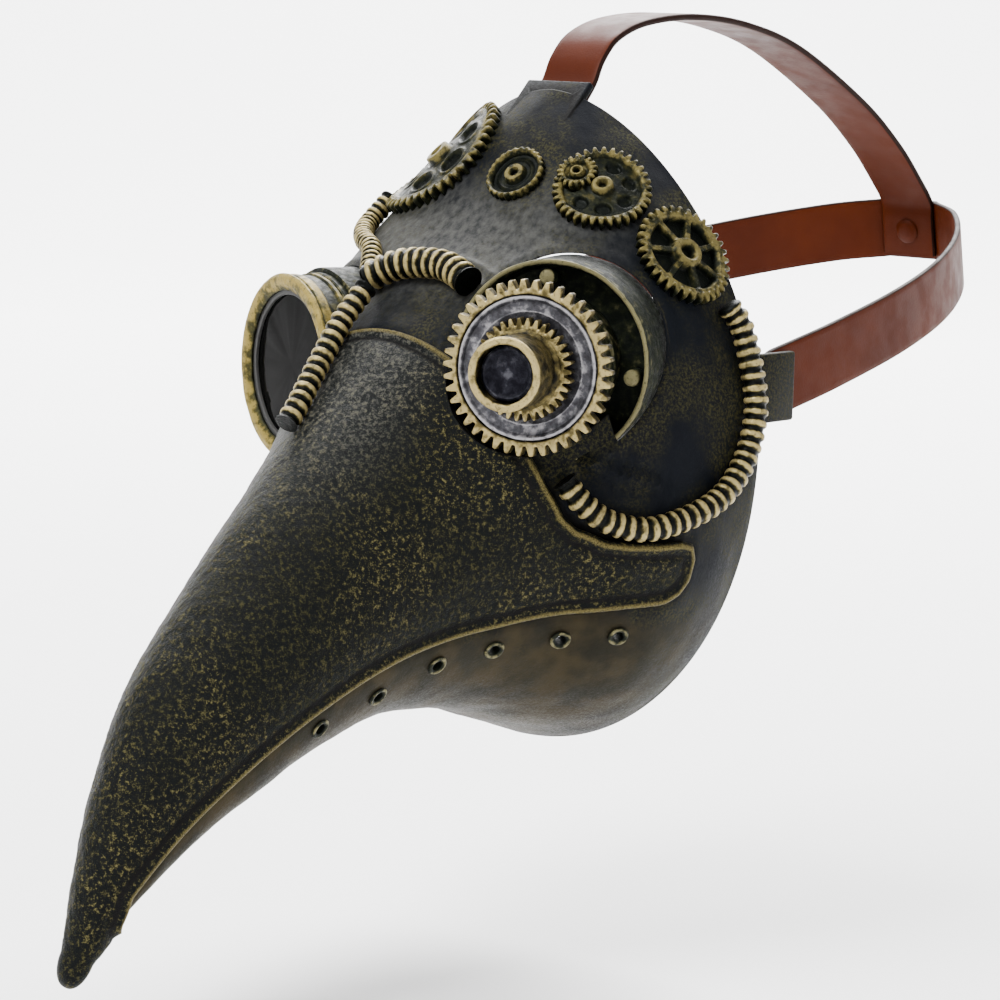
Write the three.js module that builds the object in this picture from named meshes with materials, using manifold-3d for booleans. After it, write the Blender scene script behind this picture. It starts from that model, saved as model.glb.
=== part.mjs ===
// Plague doctor mask: a hollow moulded face with a long curved beak, one glazed goggle, one gear-stack eye,
// gears and corrugated hoses in relief, and a leather harness that pivots on two side rivets.
// Millimetres. +Z up, the mask faces -Y, +X is the wearer's left. The origin is the middle of the face opening.
import * as THREE from "three";
import { mergeVertices } from "three/addons/utils/BufferGeometryUtils.js";
import Module from "manifold-3d";

const wasm = await Module();
wasm.setup();

// ---- Driving dimensions ----
// Cross-sections fan out from the rim of the face to the beak tip. Each row gives: ridge point y, z; underside
// point y, z; half width; fullness of the upper curve and of the lower curve; how far the sides are swept back.
const SECTIONS = [
  [-2, 104, -4, -107, 79, 1.75, 2.15, 12],
  [-15, 91, -10, -105, 79.5, 1.95, 2.2, 9],
  [-29, 73, -17, -102.5, 79, 2.3, 2.2, 5],
  [-43, 58, -26, -99.5, 76.5, 2.45, 2.2, 2],
  [-60, 44, -36, -96.5, 69, 2.25, 2.1, 0],
  [-79, 29, -48, -92.5, 56, 1.95, 2.1, 0],
  [-100, 9, -63, -89.5, 44, 1.75, 2.1, 0],
  [-121, -10, -80, -88, 36, 1.7, 2.1, 0],
  [-142, -29, -99, -89, 31, 1.7, 2.1, 0],
  [-162, -49, -121, -95, 26, 1.75, 2.1, 0],
  [-180, -69, -144, -104.5, 21, 1.8, 2.1, 0],
  [-194, -93, -169, -117, 14, 1.85, 2.1, 0],
  [-203.5, -118, -191, -131, 8, 1.9, 2.1, 0],
  [-210.3, -141, -207, -143.6, 2.6, 2, 2, 0],
];
const LAST = SECTIONS.length - 1;
const BEAK_TIP = new THREE.Vector3(0, -213.5, -150.5);
const SIDE_SWEEP_POWER = 1.6;
const SHELL_WALL = 2.8;
const CASING_GAP = 0.8;
const CASING_WALL = 2;
const TOUCH_GAP = 0.3;

// The beak casing lies over the shell. Its rear edge is given as the section where it starts at each share of the
// way from the ridge to its lower edge, and its lower edge as an angle from the ridge at each section.
const SHELL_FRONT = 5.3;
const TROUGH_EDGE = THREE.MathUtils.degToRad(84);
const CASING_REAR = [
  [0, 5], [0.55, 5], [0.66, 4.95], [0.75, 4.85], [0.79, 4.7], [0.83, 4.3], [0.85, 3.9], [0.865, 3.4], [0.875, 2.9],
  [0.89, 2.6], [0.92, 2.5], [0.96, 2.58], [0.985, 2.8], [1, 3.15],
];
const CASING_EDGE = [[2.5, 110], [4.5, 110], [6, 108], [8, 103], [10, 98], [12, 95], [12.6, 140], [13, 180]];

// Eyes: both sockets share one splay, and the goggle hangs a little lower than the gear eye.
const EYE_X = 46;
const EYE_Y = -56;
const EYE_SPLAY = THREE.MathUtils.degToRad(20);
const GEAR_EYE_Z = 23;
const GOGGLE_Z = 14;
const SOCKET_HOLE = 31.9;
const SOCKET_RADIUS = 31.4;

// Harness: the rear band pivots on the side rivets and rises towards the back of the head.
const PIVOT_Y = 17.5;
const PIVOT_Z = 13;
const BAND_RISE = THREE.MathUtils.degToRad(11);
const BAND_HALF_WIDTH = 75.5;
const BAND_REACH = 203;
const BAND_FRONT = -6;
const BAND_FLAT = 12;
const STRAP_WIDTH = 22;
const STRAP_THICKNESS = 2.2;
const RIVET_HEAD = 4.5;
const RIVET_SHANK = 1.9;
const RIVET_HOLE = 2.3;

// ---- Materials ----
const paint = (color, roughness, metalness) => new THREE.MeshStandardMaterial({ color, roughness, metalness });
const MATERIALS = {
  shell: paint(0x24272b, 0.55, 0.25),
  casing: paint(0x34362a, 0.6, 0.35),
  brass: paint(0xa08f55, 0.45, 0.7),
  darkBrass: paint(0x4a4a34, 0.5, 0.6),
  silver: paint(0x8f8b93, 0.4, 0.75),
  lens: paint(0x141414, 0.08, 0),
  gasket: paint(0x1b1b1b, 0.8, 0),
  leather: paint(0x7a2f14, 0.5, 0),
  rivet: paint(0x6b6248, 0.4, 0.85),
};

// ---- The master surface of face and beak ----
function sectionAt(u) {
  const i = Math.min(Math.floor(u), LAST - 1);
  const t = u - i;
  const row = (k) => SECTIONS[Math.min(Math.max(i + k, 0), LAST)];
  const [a, b, c, d] = [row(-1), row(0), row(1), row(2)];
  return b.map((_, k) => 0.5 * (2 * b[k] + (c[k] - a[k]) * t
    + (2 * a[k] - 5 * b[k] + 4 * c[k] - d[k]) * t * t
    + (3 * b[k] - a[k] - 3 * c[k] + d[k]) * t * t * t));
}

// A point of the surface: u counts sections from the rim, and the angle runs from the ridge, positive to +X.
function bareSurface(u, angle) {
  const [ridgeY, ridgeZ, underY, underZ, halfWidth, upper, lower, sweep] = sectionAt(u);
  const across = Math.sin(angle);
  const along = Math.cos(angle);
  const fullness = along >= 0 ? upper : lower;
  const bend = (value) => Math.sign(value) * Math.abs(value) ** (2 / fullness);
  const fraction = (1 - bend(along)) / 2;
  return new THREE.Vector3(
    halfWidth * bend(across),
    ridgeY + (underY - ridgeY) * fraction + sweep * Math.abs(across) ** SIDE_SWEEP_POWER,
    ridgeZ + (underZ - ridgeZ) * fraction,
  );
}

function surfaceNormal(u, angle) {
  const step = 1e-3;
  const low = Math.max(u - step, 0);
  const high = Math.min(u + step, LAST);
  const alongBeak = bareSurface(high, angle).sub(bareSurface(low, angle));
  const around = bareSurface(u, angle + step).sub(bareSurface(u, angle - step));
  return alongBeak.cross(around).normalize();
}

function surface(u, angle, offset = 0) {
  return bareSurface(u, angle).addScaledVector(surfaceNormal(u, angle), offset);
}

// The nearest point of the surface to a given place, found by a coarse scan and a shrinking search.
function seat(x, y, z) {
  const place = new THREE.Vector3(x, y, z);
  const distance = (u, angle) => bareSurface(u, angle).distanceTo(place);
  let best = { u: 0, angle: 0, gap: Infinity };
  const consider = (u, angle) => {
    const gap = distance(u, angle);
    if (u >= 0 && u <= LAST && gap < best.gap) best = { u, angle, gap };
  };
  for (let u = 0; u <= 11; u += 0.5) {
    for (let angle = -Math.PI; angle < Math.PI; angle += Math.PI / 18) consider(u, angle);
  }
  for (let reach = 0.25; reach > 1e-3; reach /= 2) {
    const { u, angle } = best;
    for (const du of [-reach, 0, reach]) {
      for (const da of [-reach, 0, reach]) consider(u + du, angle + da * 0.4);
    }
  }
  const normal = surfaceNormal(best.u, best.angle);
  return { point: bareSurface(best.u, best.angle), normal };
}

// ---- Solids ----
// Merges shared vertices, drops flat triangles and turns the faces outwards.
function solid(geometry) {
  const bare = geometry.clone();
  bare.deleteAttribute("normal");
  bare.deleteAttribute("uv");
  const merged = mergeVertices(bare, 1e-4);
  const index = Array.from(merged.index.array);
  const position = merged.getAttribute("position");
  const corner = (i) => new THREE.Vector3().fromBufferAttribute(position, i);
  const kept = [];
  let volume = 0;
  for (let i = 0; i < index.length; i += 3) {
    const [a, b, c] = index.slice(i, i + 3);
    if (a === b || b === c || a === c) continue;
    kept.push(a, b, c);
    volume += corner(a).dot(corner(b).cross(corner(c)));
  }
  if (volume < 0) {
    for (let i = 0; i < kept.length; i += 3) [kept[i + 1], kept[i + 2]] = [kept[i + 2], kept[i + 1]];
  }
  merged.setIndex(kept);
  return merged;
}

function toManifold(geometry) {
  const closed = solid(geometry);
  return new wasm.Manifold(new wasm.Mesh({
    numProp: 3,
    vertProperties: new Float32Array(closed.getAttribute("position").array),
    triVerts: new Uint32Array(closed.index.array),
  }));
}

function fromManifold(body) {
  const mesh = body.getMesh();
  const geometry = new THREE.BufferGeometry();
  const points = [];
  for (let i = 0; i < mesh.numVert; i += 1) {
    for (let k = 0; k < 3; k += 1) points.push(mesh.vertProperties[i * mesh.numProp + k]);
  }
  geometry.setAttribute("position", new THREE.Float32BufferAttribute(points, 3));
  geometry.setIndex(Array.from(mesh.triVerts));
  return geometry;
}

function cut(geometry, cutters) {
  return fromManifold(cutters.reduce((body, cutter) => body.subtract(toManifold(cutter)), toManifold(geometry)));
}

function trim(geometry, envelope) {
  return fromManifold(toManifold(geometry).intersect(toManifold(envelope)));
}

function join(geometry, additions) {
  return fromManifold(additions.reduce((body, extra) => body.add(toManifold(extra)), toManifold(geometry)));
}

// A wall between two grids of points, over the cells that keep(row, column) accepts.
function thickPatch(rows, columns, keep, outer, inner) {
  const points = [];
  const ids = new Map();
  const idOf = (i, j) => {
    const place = outer(rows[i], columns[j]);
    const key = place.toArray().map((value) => Math.round(value * 1000)).join();
    if (!ids.has(key)) {
      ids.set(key, points.length / 2);
      points.push(place, inner(rows[i], columns[j]));
    }
    return ids.get(key);
  };
  const triangles = [];
  const edges = new Map();
  const addTriangle = (a, b, c) => {
    if (a === b || b === c || a === c) return;
    triangles.push(2 * a, 2 * b, 2 * c, 2 * a + 1, 2 * c + 1, 2 * b + 1);
    for (const [p, q] of [[a, b], [b, c], [c, a]]) {
      if (!edges.delete(`${q},${p}`)) edges.set(`${p},${q}`, [p, q]);
    }
  };
  for (let i = 0; i + 1 < rows.length; i += 1) {
    for (let j = 0; j + 1 < columns.length; j += 1) {
      if (!keep((rows[i] + rows[i + 1]) / 2, (columns[j] + columns[j + 1]) / 2)) continue;
      const [a, b, c, d] = [idOf(i, j), idOf(i + 1, j), idOf(i + 1, j + 1), idOf(i, j + 1)];
      addTriangle(a, b, c);
      addTriangle(a, c, d);
    }
  }
  for (const [p, q] of edges.values()) {
    triangles.push(2 * q, 2 * p, 2 * p + 1, 2 * q, 2 * p + 1, 2 * q + 1);
  }
  const geometry = new THREE.BufferGeometry();
  geometry.setAttribute("position", new THREE.Float32BufferAttribute(points.flatMap((p) => p.toArray()), 3));
  geometry.setIndex(triangles);
  return geometry;
}

// A turned solid about +Z from [radius, height] pairs.
function turned(profile, segments = 32) {
  const geometry = new THREE.LatheGeometry(profile.map(([r, h]) => new THREE.Vector2(r, h)), segments);
  return geometry.rotateX(Math.PI / 2);
}

function ring(inner, outer, low, high, segments = 32) {
  return turned([[inner, low], [outer, low], [outer, high], [inner, high], [inner, low]], segments);
}

function disc(radius, low, high, segments = 32) {
  return turned([[0, low], [radius, low], [radius, high], [0, high]], segments);
}

function range(from, to, step) {
  return Array.from({ length: Math.round((to - from) / step) + 1 }, (_, i) => from + i * step);
}

function extruded(shape, low, high) {
  const geometry = new THREE.ExtrudeGeometry(shape, { depth: high - low, bevelEnabled: false, curveSegments: 6 });
  return geometry.translate(0, 0, low);
}

function circlePath(radius, sides, x = 0, y = 0) {
  const corner = (i) => {
    const turn = (i / sides) * 2 * Math.PI;
    return new THREE.Vector2(x + radius * Math.cos(turn), y + radius * Math.sin(turn));
  };
  return new THREE.Path(Array.from({ length: sides }, (_, i) => corner(i)));
}

// A gear wheel with pointed teeth, a bore and optional cut-outs.
function gear({ teeth, root, tip, bore, low, high, windows = [], boreSides = 14 }) {
  const outline = [];
  for (let i = 0; i < 2 * teeth; i += 1) {
    const turn = (i / teeth) * Math.PI;
    const radius = i % 2 ? tip : root;
    outline.push(new THREE.Vector2(radius * Math.cos(turn), radius * Math.sin(turn)));
  }
  const shape = new THREE.Shape(outline);
  shape.holes.push(circlePath(bore, boreSides), ...windows);
  return extruded(shape, low, high);
}

// Openings between the spokes of a wheel.
function spokeWindows(count, inner, outer, spokeWidth) {
  return Array.from({ length: count }, (_, i) => {
    const middle = ((i + 0.5) / count) * 2 * Math.PI;
    const corner = (radius, side) => {
      const turn = middle + side * (Math.PI / count - spokeWidth / 2 / radius);
      return new THREE.Vector2(radius * Math.cos(turn), radius * Math.sin(turn));
    };
    return new THREE.Path([corner(inner, -1), corner(outer, -1), corner(outer, 0), corner(outer, 1), corner(inner, 1)]);
  });
}

function roundWindows(count, radius, size) {
  return Array.from({ length: count }, (_, i) => {
    const turn = (i / count) * 2 * Math.PI;
    return circlePath(size, 8, radius * Math.cos(turn), radius * Math.sin(turn));
  });
}

// A plain hose that lies on the surface, through places given by hand.
function hose(places, radius, lift) {
  const centres = places.map(([x, y, z]) => {
    const { point, normal } = seat(x, y, z);
    return point.addScaledVector(normal, radius + lift);
  });
  const path = new THREE.CatmullRomCurve3(centres);
  const section = new THREE.Shape(circlePath(radius, 8).getPoints());
  const steps = Math.round(path.getLength() / (1.6 * radius));
  return new THREE.ExtrudeGeometry(section, { steps, extrudePath: path, bevelEnabled: false });
}

// ---- Placing ----
const mask = new THREE.Group();
mask.name = "plague_doctor_mask";

function add(parent, name, geometry, material) {
  const mesh = new THREE.Mesh(solid(geometry), material);
  mesh.name = name;
  parent.add(mesh);
  return mesh;
}

// A group whose local +Z points along a direction, with local +Y kept as upright as it can be.
function stand(origin, direction) {
  const group = new THREE.Group();
  const outward = direction.clone().normalize();
  const side = new THREE.Vector3(0, 0, 1).cross(outward).normalize();
  const up = outward.clone().cross(side);
  group.quaternion.setFromRotationMatrix(new THREE.Matrix4().makeBasis(side, up, outward));
  group.position.copy(origin);
  mask.add(group);
  group.updateMatrixWorld();
  return group;
}

function eyeStand(side, z) {
  const axis = new THREE.Vector3(side * Math.sin(EYE_SPLAY), -Math.cos(EYE_SPLAY), 0);
  return stand(new THREE.Vector3(side * EYE_X, EYE_Y, z), axis);
}

const gearEye = eyeStand(1, GEAR_EYE_Z);
const goggle = eyeStand(-1, GOGGLE_Z);

// ---- Face shell and beak casing ----
const EYELET_PLACES = [
  [62, -39.5, -61.5], [50.5, -53.5, -62.5], [39, -71.5, -65],
  [32, -90, -68.5], [26, -110.5, -76], [23, -133, -83],
];
const EYELET_BORE = 1.7;
const EYELET_SHANK = 2.2;
const EYELET_FLANGE = 3.4;
const EYELET_CLEARANCE = 2.6;

function eyeletStands() {
  const sides = [[1, "left"], [-1, "right"]];
  return sides.flatMap(([side, label]) => EYELET_PLACES.map(([x, y, z], i) => {
    const { point, normal } = seat(side * x, y, z);
    return { name: `eyelet_${label}_${i + 1}`, group: stand(point, normal) };
  }));
}

const eyelets = eyeletStands();

// The hole for a socket narrows in front of the socket's rim, so that the skin closes up to what stands in it.
function socketCutter(eye, neck, mouth) {
  const profile = [[0, -60], [SOCKET_HOLE, -60], [SOCKET_HOLE, 1.6], [neck, 1.6], [neck, 17], [mouth, 17],
    [mouth, 45], [0, 45]];
  return turned(profile, 32).applyMatrix4(eye.matrixWorld);
}

const EYE_CUTTERS = [socketCutter(gearEye, 24, 27.4), socketCutter(goggle, 30.6, 30.6)];

// Side tabs carry the band's rivets, and the top tab carries the top strap's.
const SIDE_TAB = { low: 76, high: 79, front: 6.5, back: 27, bottom: 2, top: 24 };
const WALL_SLOPE = Math.PI / 4;

function sideTab(side) {
  const { low, high, front, back, bottom, top } = SIDE_TAB;
  const box = new THREE.BoxGeometry(high - low, back - front, top - bottom);
  return box.translate(side * (low + high) / 2, (front + back) / 2, (bottom + top) / 2);
}

function topTab() {
  const box = new THREE.BoxGeometry(26, 20, SHELL_WALL);
  return box.rotateX(WALL_SLOPE).translate(0, -3.5, 98.5);
}

function sideRivetBore(side) {
  return disc(RIVET_HOLE, 70, SIDE_TAB.high - 0.8, 12).rotateY(side * Math.PI / 2).translate(0, PIVOT_Y, PIVOT_Z);
}

// The top rivet stands square to the forehead wall, just below its rim.
const topRivetStand = stand(new THREE.Vector3(0, -6.6, 99.4), new THREE.Vector3(0, -1, 1));
const TOP_RIVET_START = -7.5;

function topRivetBore(high) {
  return disc(RIVET_HOLE, -12, high, 12).applyMatrix4(topRivetStand.matrixWorld);
}

function faceShell() {
  const rows = [...range(0, 5, 0.5), SHELL_FRONT, ...range(6, 12, 1), 12.4];
  const columns = range(-180, 180, 12).map(THREE.MathUtils.degToRad);
  const keep = (u, angle) => u < SHELL_FRONT || Math.abs(angle) > TROUGH_EDGE;
  const wall = thickPatch(rows, columns, keep, (u, a) => surface(u, a), (u, a) => surface(u, a, -SHELL_WALL));
  const tabbed = join(wall, [sideTab(1), sideTab(-1), topTab()]);
  const bores = eyelets.map(({ group }) => disc(EYELET_CLEARANCE, -8, 6, 8).applyMatrix4(group.matrixWorld));
  return cut(tabbed, [...EYE_CUTTERS, sideRivetBore(1), sideRivetBore(-1), topRivetBore(-0.9), ...bores]);
}

// Reads a table of [at, value] rows, straight between its rows.
function lookUp(table, at) {
  const next = Math.max(table.findIndex(([key]) => key >= at), 1);
  const [from, low] = table[next - 1];
  const [to, high] = table[next];
  return low + (high - low) * Math.max(0, (at - from) / (to - from));
}

function casingEdge(u) {
  return THREE.MathUtils.degToRad(lookUp(CASING_EDGE, u));
}

// The casing's surface, which closes over the beak tip in a round nose past the last section.
function casingPoint(u, fraction, offset, tip) {
  if (u <= LAST) return surface(u, fraction * casingEdge(u), offset);
  const rim = surface(LAST, fraction * Math.PI, offset);
  const [ridgeY, ridgeZ, underY, underZ] = SECTIONS[LAST];
  const centre = new THREE.Vector3(0, (ridgeY + underY) / 2, (ridgeZ + underZ) / 2);
  const past = u - LAST;
  const spread = rim.sub(centre).multiplyScalar(Math.sqrt(1 - past * past));
  return centre.clone().lerp(tip, past).add(spread);
}

function beakCasing() {
  // A row below zero stands between the rear edge, at -1, and the section where every share has begun, at 0.
  const rows = [-1, -0.75, -0.5, -0.25, ...range(0, 6.75, 0.75), 7.1, 7.3, 7.55, 7.8, 8, 8.5, 8.85, 9];
  const half = [0, 0.14, 0.28, 0.42, 0.55, 0.66, 0.75, 0.79, 0.83, 0.865, 0.885, 0.92, 0.96, 0.985, 1];
  const columns = [...half.slice(1).reverse().map((f) => -f), ...half];
  const sectionOf = (row, share) => (row >= 0 ? row + 5 : 5 + row * (5 - lookUp(CASING_REAR, Math.abs(share))));
  const innerTip = BEAK_TIP.clone().add(new THREE.Vector3(0, 1.6, 2.6));
  const outerWall = (row, share) => casingPoint(sectionOf(row, share), share, CASING_GAP + CASING_WALL, BEAK_TIP);
  const innerWall = (row, share) => casingPoint(sectionOf(row, share), share, CASING_GAP, innerTip);
  // Where the rear edge lies on the section itself, no strip is left between them.
  const keep = (row, share) => row >= 0 || lookUp(CASING_REAR, Math.abs(share)) < 4.99;
  return cut(thickPatch(rows, columns, keep, outerWall, innerWall), EYE_CUTTERS);
}

// ---- Gear eye on the wearer's left ----
function addGearEye() {
  const cup = [[0, -10], [27.5, -10], [27.5, -22], [SOCKET_RADIUS, -22], [SOCKET_RADIUS, 1], [29.8, 1],
    [29, -7], [0, -7]];
  add(gearEye, "eye_socket_left", turned(cup), MATERIALS.darkBrass);
  for (const [i, turn] of [95, -8, -68].entries()) {
    const lug = disc(2.6, -7 + TOUCH_GAP, 0.2, 8);
    lug.translate(25.7 * Math.cos(THREE.MathUtils.degToRad(turn)), 25.7 * Math.sin(THREE.MathUtils.degToRad(turn)), 0);
    add(gearEye, `socket_lug_${i + 1}`, lug, MATERIALS.darkBrass);
  }
  const barrel = [[16, -6.7], [20, -6.7], [20, 17.5], [23, 17.5], [23, 19.4], [16, 19.4], [16, -6.7]];
  add(gearEye, "eye_barrel_left", turned(barrel, 28), MATERIALS.darkBrass);
  const wheel = gear({ teeth: 42, root: 23.7, tip: 26.4, bore: 22.2, low: 19.7, high: 23.6, boreSides: 36 });
  add(gearEye, "main_gear", wheel, MATERIALS.brass);
  const dish = [[12, 19.7], [21.8, 19.7], [21.8, 23.4], [20.4, 23.2], [12, 21.4], [12, 19.7]];
  add(gearEye, "gear_dish", turned(dish, 28), MATERIALS.silver);
  const pinion = gear({ teeth: 34, root: 13.3, tip: 15.4, bore: 3, low: 23.7, high: 27.8 });
  add(gearEye, "small_gear", pinion, MATERIALS.brass);
  add(gearEye, "hub_collar", ring(8.8, 11, 28.1, 44.5, 24), MATERIALS.brass);
  const plug = [[0, 28.1], [8.4, 28.1], [8.4, 40.6], [7.4, 41.4], [0, 41.4]];
  add(gearEye, "hub_plug", turned(plug, 16), MATERIALS.shell);
}

// ---- Goggle on the wearer's right ----
function addGoggle() {
  const socket = [[27, -22], [SOCKET_RADIUS, -22], [SOCKET_RADIUS, 1], [29.8, 1.2], [29.8, 3.4], [27, 3.4],
    [27, -22]];
  add(goggle, "eye_socket_right", turned(socket), MATERIALS.darkBrass);
  const notch = new THREE.BoxGeometry(5, 5, 4.2).translate(27.4, 10.5, 5.7);
  add(goggle, "goggle_barrel", cut(ring(26, 29.8, 3.7, 13.4), [notch]), MATERIALS.brass);
  const bezel = [[24.4, 13.7], [29.8, 13.7], [29.8, 14.9], [28.9, 15.8], [26.4, 15.8], [24.4, 14.3], [24.4, 13.7]];
  add(goggle, "goggle_bezel", turned(bezel), MATERIALS.brass);
  add(goggle, "lens_gasket", ring(23, 25.7, 12.4, 13.4, 24), MATERIALS.gasket);
  add(goggle, "goggle_lens", disc(25.7, 10.5, 12.1, 24), MATERIALS.lens);
  add(goggle, "lens_retainer", ring(23, 25.7, 8.7, 10.2, 24), MATERIALS.darkBrass);
}

// ---- Gears across the brow ----
const BROW_LIFT = 0.5;

// Stands a wheel flat on the brow: square to the surface under its rim, and just clear of the highest place.
function browStand(x, y, z, reach) {
  const { point, normal } = seat(x, y, z);
  const side = new THREE.Vector3(0, 0, 1).cross(normal).normalize();
  const up = normal.clone().cross(side);
  const sides = 16;
  const below = (radius) => Array.from({ length: sides }, (_, i) => {
    const turn = (i / sides) * 2 * Math.PI;
    const place = point.clone().addScaledVector(side, radius * Math.cos(turn));
    place.addScaledVector(up, radius * Math.sin(turn));
    return seat(...place.toArray()).point.sub(point);
  });
  const rim = below(reach);
  const face = new THREE.Vector3();
  rim.forEach((corner, i) => face.add(corner.clone().cross(rim[(i + 1) % sides])));
  face.normalize();
  const nearby = [...rim, ...below(reach * 0.85), ...below(reach * 0.6)];
  const highest = Math.max(0, ...nearby.map((corner) => corner.dot(face)));
  return stand(point.addScaledVector(face, highest + BROW_LIFT), face);
}

function addBrowGears() {
  const right = browStand(-33, -15, 80, 24.2);
  const rightWindows = roundWindows(6, 13.5, 3.8);
  const rightWheel = { teeth: 44, root: 21.6, tip: 24, bore: 2, low: 0, high: 3, windows: rightWindows };
  add(right, "brow_gear_right", gear(rightWheel), MATERIALS.darkBrass);
  add(right, "brow_gear_right_hub", ring(2.2, 4.6, 3.3, 4.8, 16), MATERIALS.brass);

  const middle = browStand(6.5, -26, 76.5, 9.8);
  const dished = [[0, 0], [9.8, 0], [9.8, 2.6], [8.6, 2.6], [8, 1.6], [0, 1.6]];
  add(middle, "brow_disc", turned(dished, 28), MATERIALS.darkBrass);
  add(middle, "brow_disc_hub", ring(1.3, 3.2, 1.9, 3.4, 14), MATERIALS.brass);

  const left = browStand(36, -20, 73.5, 15.5);
  const leftWindows = roundWindows(7, 9, 2.1);
  const leftWheel = { teeth: 34, root: 13.6, tip: 15.6, bore: 1.4, low: 0, high: 2.6, windows: leftWindows };
  add(left, "brow_gear_left", gear(leftWheel), MATERIALS.darkBrass);
  add(left, "brow_gear_left_hub", ring(1.6, 3.1, 2.9, 4.6, 14), MATERIALS.brass);
  const pinion = gear({ teeth: 18, root: 5.2, tip: 6.2, bore: 1.4, low: 2.9, high: 4.2 });
  add(left, "brow_pinion", pinion.translate(-9.6, 2.6, 0), MATERIALS.brass);

  const outer = browStand(60.5, -10.5, 54, 17.2);
  const spokes = spokeWindows(7, 6, 12.2, 2);
  const outerWheel = { teeth: 34, root: 14.6, tip: 16.6, bore: 2.4, low: 0, high: 2.8, windows: spokes };
  add(outer, "spoke_gear", gear(outerWheel), MATERIALS.darkBrass);
  add(outer, "spoke_gear_hub", ring(2.6, 4.6, 3.1, 4.6, 16), MATERIALS.brass);
}

// ---- Hoses cast along the face ----
const CHEEK_ROUTE = [
  [56.5, -62.5, -11.5], [60, -59.5, -17], [66, -52.5, -23.5], [73, -40.5, -26], [78.5, -20, -20],
  [79.5, -6, -9], [79, 1, 6], [76.5, 1.5, 20], [73, 0.5, 32], [70, -3, 38],
];
const NOSE_ROUTE = [[13, -58, 45], [6, -57, 46], [-5, -57, 46], [-13, -58, 44.5], [-19, -60, 42]];
const BROW_ROUTE = [[-52, -21, 60], [-52, -28, 57], [-48, -34, 55], [-41, -40.5, 53], [-34, -46.5, 51.5]];
const BEAK_ROUTE = [[-15, -69.5, 35], [-14.5, -79, 26.5], [-12, -91, 14.5], [-9, -103, 4], [-8, -107, 0.5]];

function addHoses() {
  const onCasing = CASING_GAP + CASING_WALL + 0.4;
  const onShell = 0.4;
  add(mask, "cheek_hose", hose(CHEEK_ROUTE, 3.7, onShell), MATERIALS.brass);
  add(mask, "nose_hose", hose(NOSE_ROUTE, 4.7, onShell), MATERIALS.brass);
  add(mask, "brow_hose", hose(BROW_ROUTE, 3.2, onShell), MATERIALS.brass);
  add(mask, "beak_hose", hose(BEAK_ROUTE, 3.5, onCasing), MATERIALS.brass);
}

function addEyelets() {
  const profile = [[EYELET_BORE, -3.4], [EYELET_SHANK, -3.4], [EYELET_SHANK, 0.6], [EYELET_FLANGE, 0.6],
    [EYELET_FLANGE - 0.5, 1.5], [EYELET_BORE, 1.5], [EYELET_BORE, -3.4]];
  for (const { name, group } of eyelets) add(group, name, turned(profile, 8), MATERIALS.darkBrass);
}

// ---- Harness ----
// The band's plan: straight past the rivets, round the sides of the head, and flat where the top strap joins it.
const BAND_CURVE = [[75.5, 8], [75, 40], [71, 84], [62, 124], [47, 160], [28, 189], [BAND_FLAT, 202], [4, 204]];

function bandPlan(inset) {
  const curve = new THREE.SplineCurve(BAND_CURVE.map(([x, reach]) => new THREE.Vector2(x, reach)));
  const count = 22;
  const side = [new THREE.Vector2(BAND_HALF_WIDTH - inset, BAND_FRONT)];
  for (let i = 0; i <= count; i += 1) {
    const along = curve.getTangentAt(i / count);
    const place = curve.getPointAt(i / count).add(new THREE.Vector2(-along.y, along.x).multiplyScalar(inset));
    if (place.x > BAND_FLAT && place.y < BAND_REACH - inset) side.push(place);
  }
  side.push(new THREE.Vector2(BAND_FLAT, BAND_REACH - inset));
  return [...side, ...side.map((p) => new THREE.Vector2(-p.x, p.y)).reverse()];
}

// Turns a shape drawn in (y, z) and extruded upwards into one that is extruded along X.
const MIDDLE_PLANE = new THREE.Matrix4().makeBasis(
  new THREE.Vector3(0, 1, 0), new THREE.Vector3(0, 0, 1), new THREE.Vector3(1, 0, 0));

// Turns (x, distance behind the rivets, height across the band) into the band's sloping place behind the mask.
const BAND_PLACE = new THREE.Matrix4()
  .makeTranslation(0, PIVOT_Y, PIVOT_Z)
  .multiply(new THREE.Matrix4().makeRotationX(BAND_RISE));

// The band's face: its two front ends are rounded about the rivets.
function bandFace() {
  const half = STRAP_WIDTH / 2;
  const face = new THREE.Shape();
  face.moveTo(BAND_REACH + 5, -half);
  face.lineTo(BAND_REACH + 5, half);
  face.absarc(BAND_FRONT + half, 0, half, Math.PI / 2, 1.5 * Math.PI);
  return extruded(face, -90, 90).applyMatrix4(MIDDLE_PLANE).applyMatrix4(BAND_PLACE);
}

function bandBore(low, high) {
  return disc(RIVET_HOLE, low, high, 12).rotateX(-Math.PI / 2).applyMatrix4(BAND_PLACE);
}

function rearBand() {
  const outline = [...bandPlan(0), ...bandPlan(STRAP_THICKNESS).reverse()];
  const band = extruded(new THREE.Shape(outline), -STRAP_WIDTH / 2, STRAP_WIDTH / 2).applyMatrix4(BAND_PLACE);
  const sideBores = disc(RIVET_HOLE, -90, 90, 12).rotateY(Math.PI / 2).translate(0, PIVOT_Y, PIVOT_Z);
  return cut(trim(band, bandFace()), [sideBores, bandBore(BAND_REACH - 8, BAND_REACH - 0.6)]);
}

// A point of the band's middle plane from its distance behind the rivets and its height across the band.
function bandPoint(reach, height) {
  const place = new THREE.Vector3(0, reach, height).applyMatrix4(BAND_PLACE);
  return [place.y, place.z];
}

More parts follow.
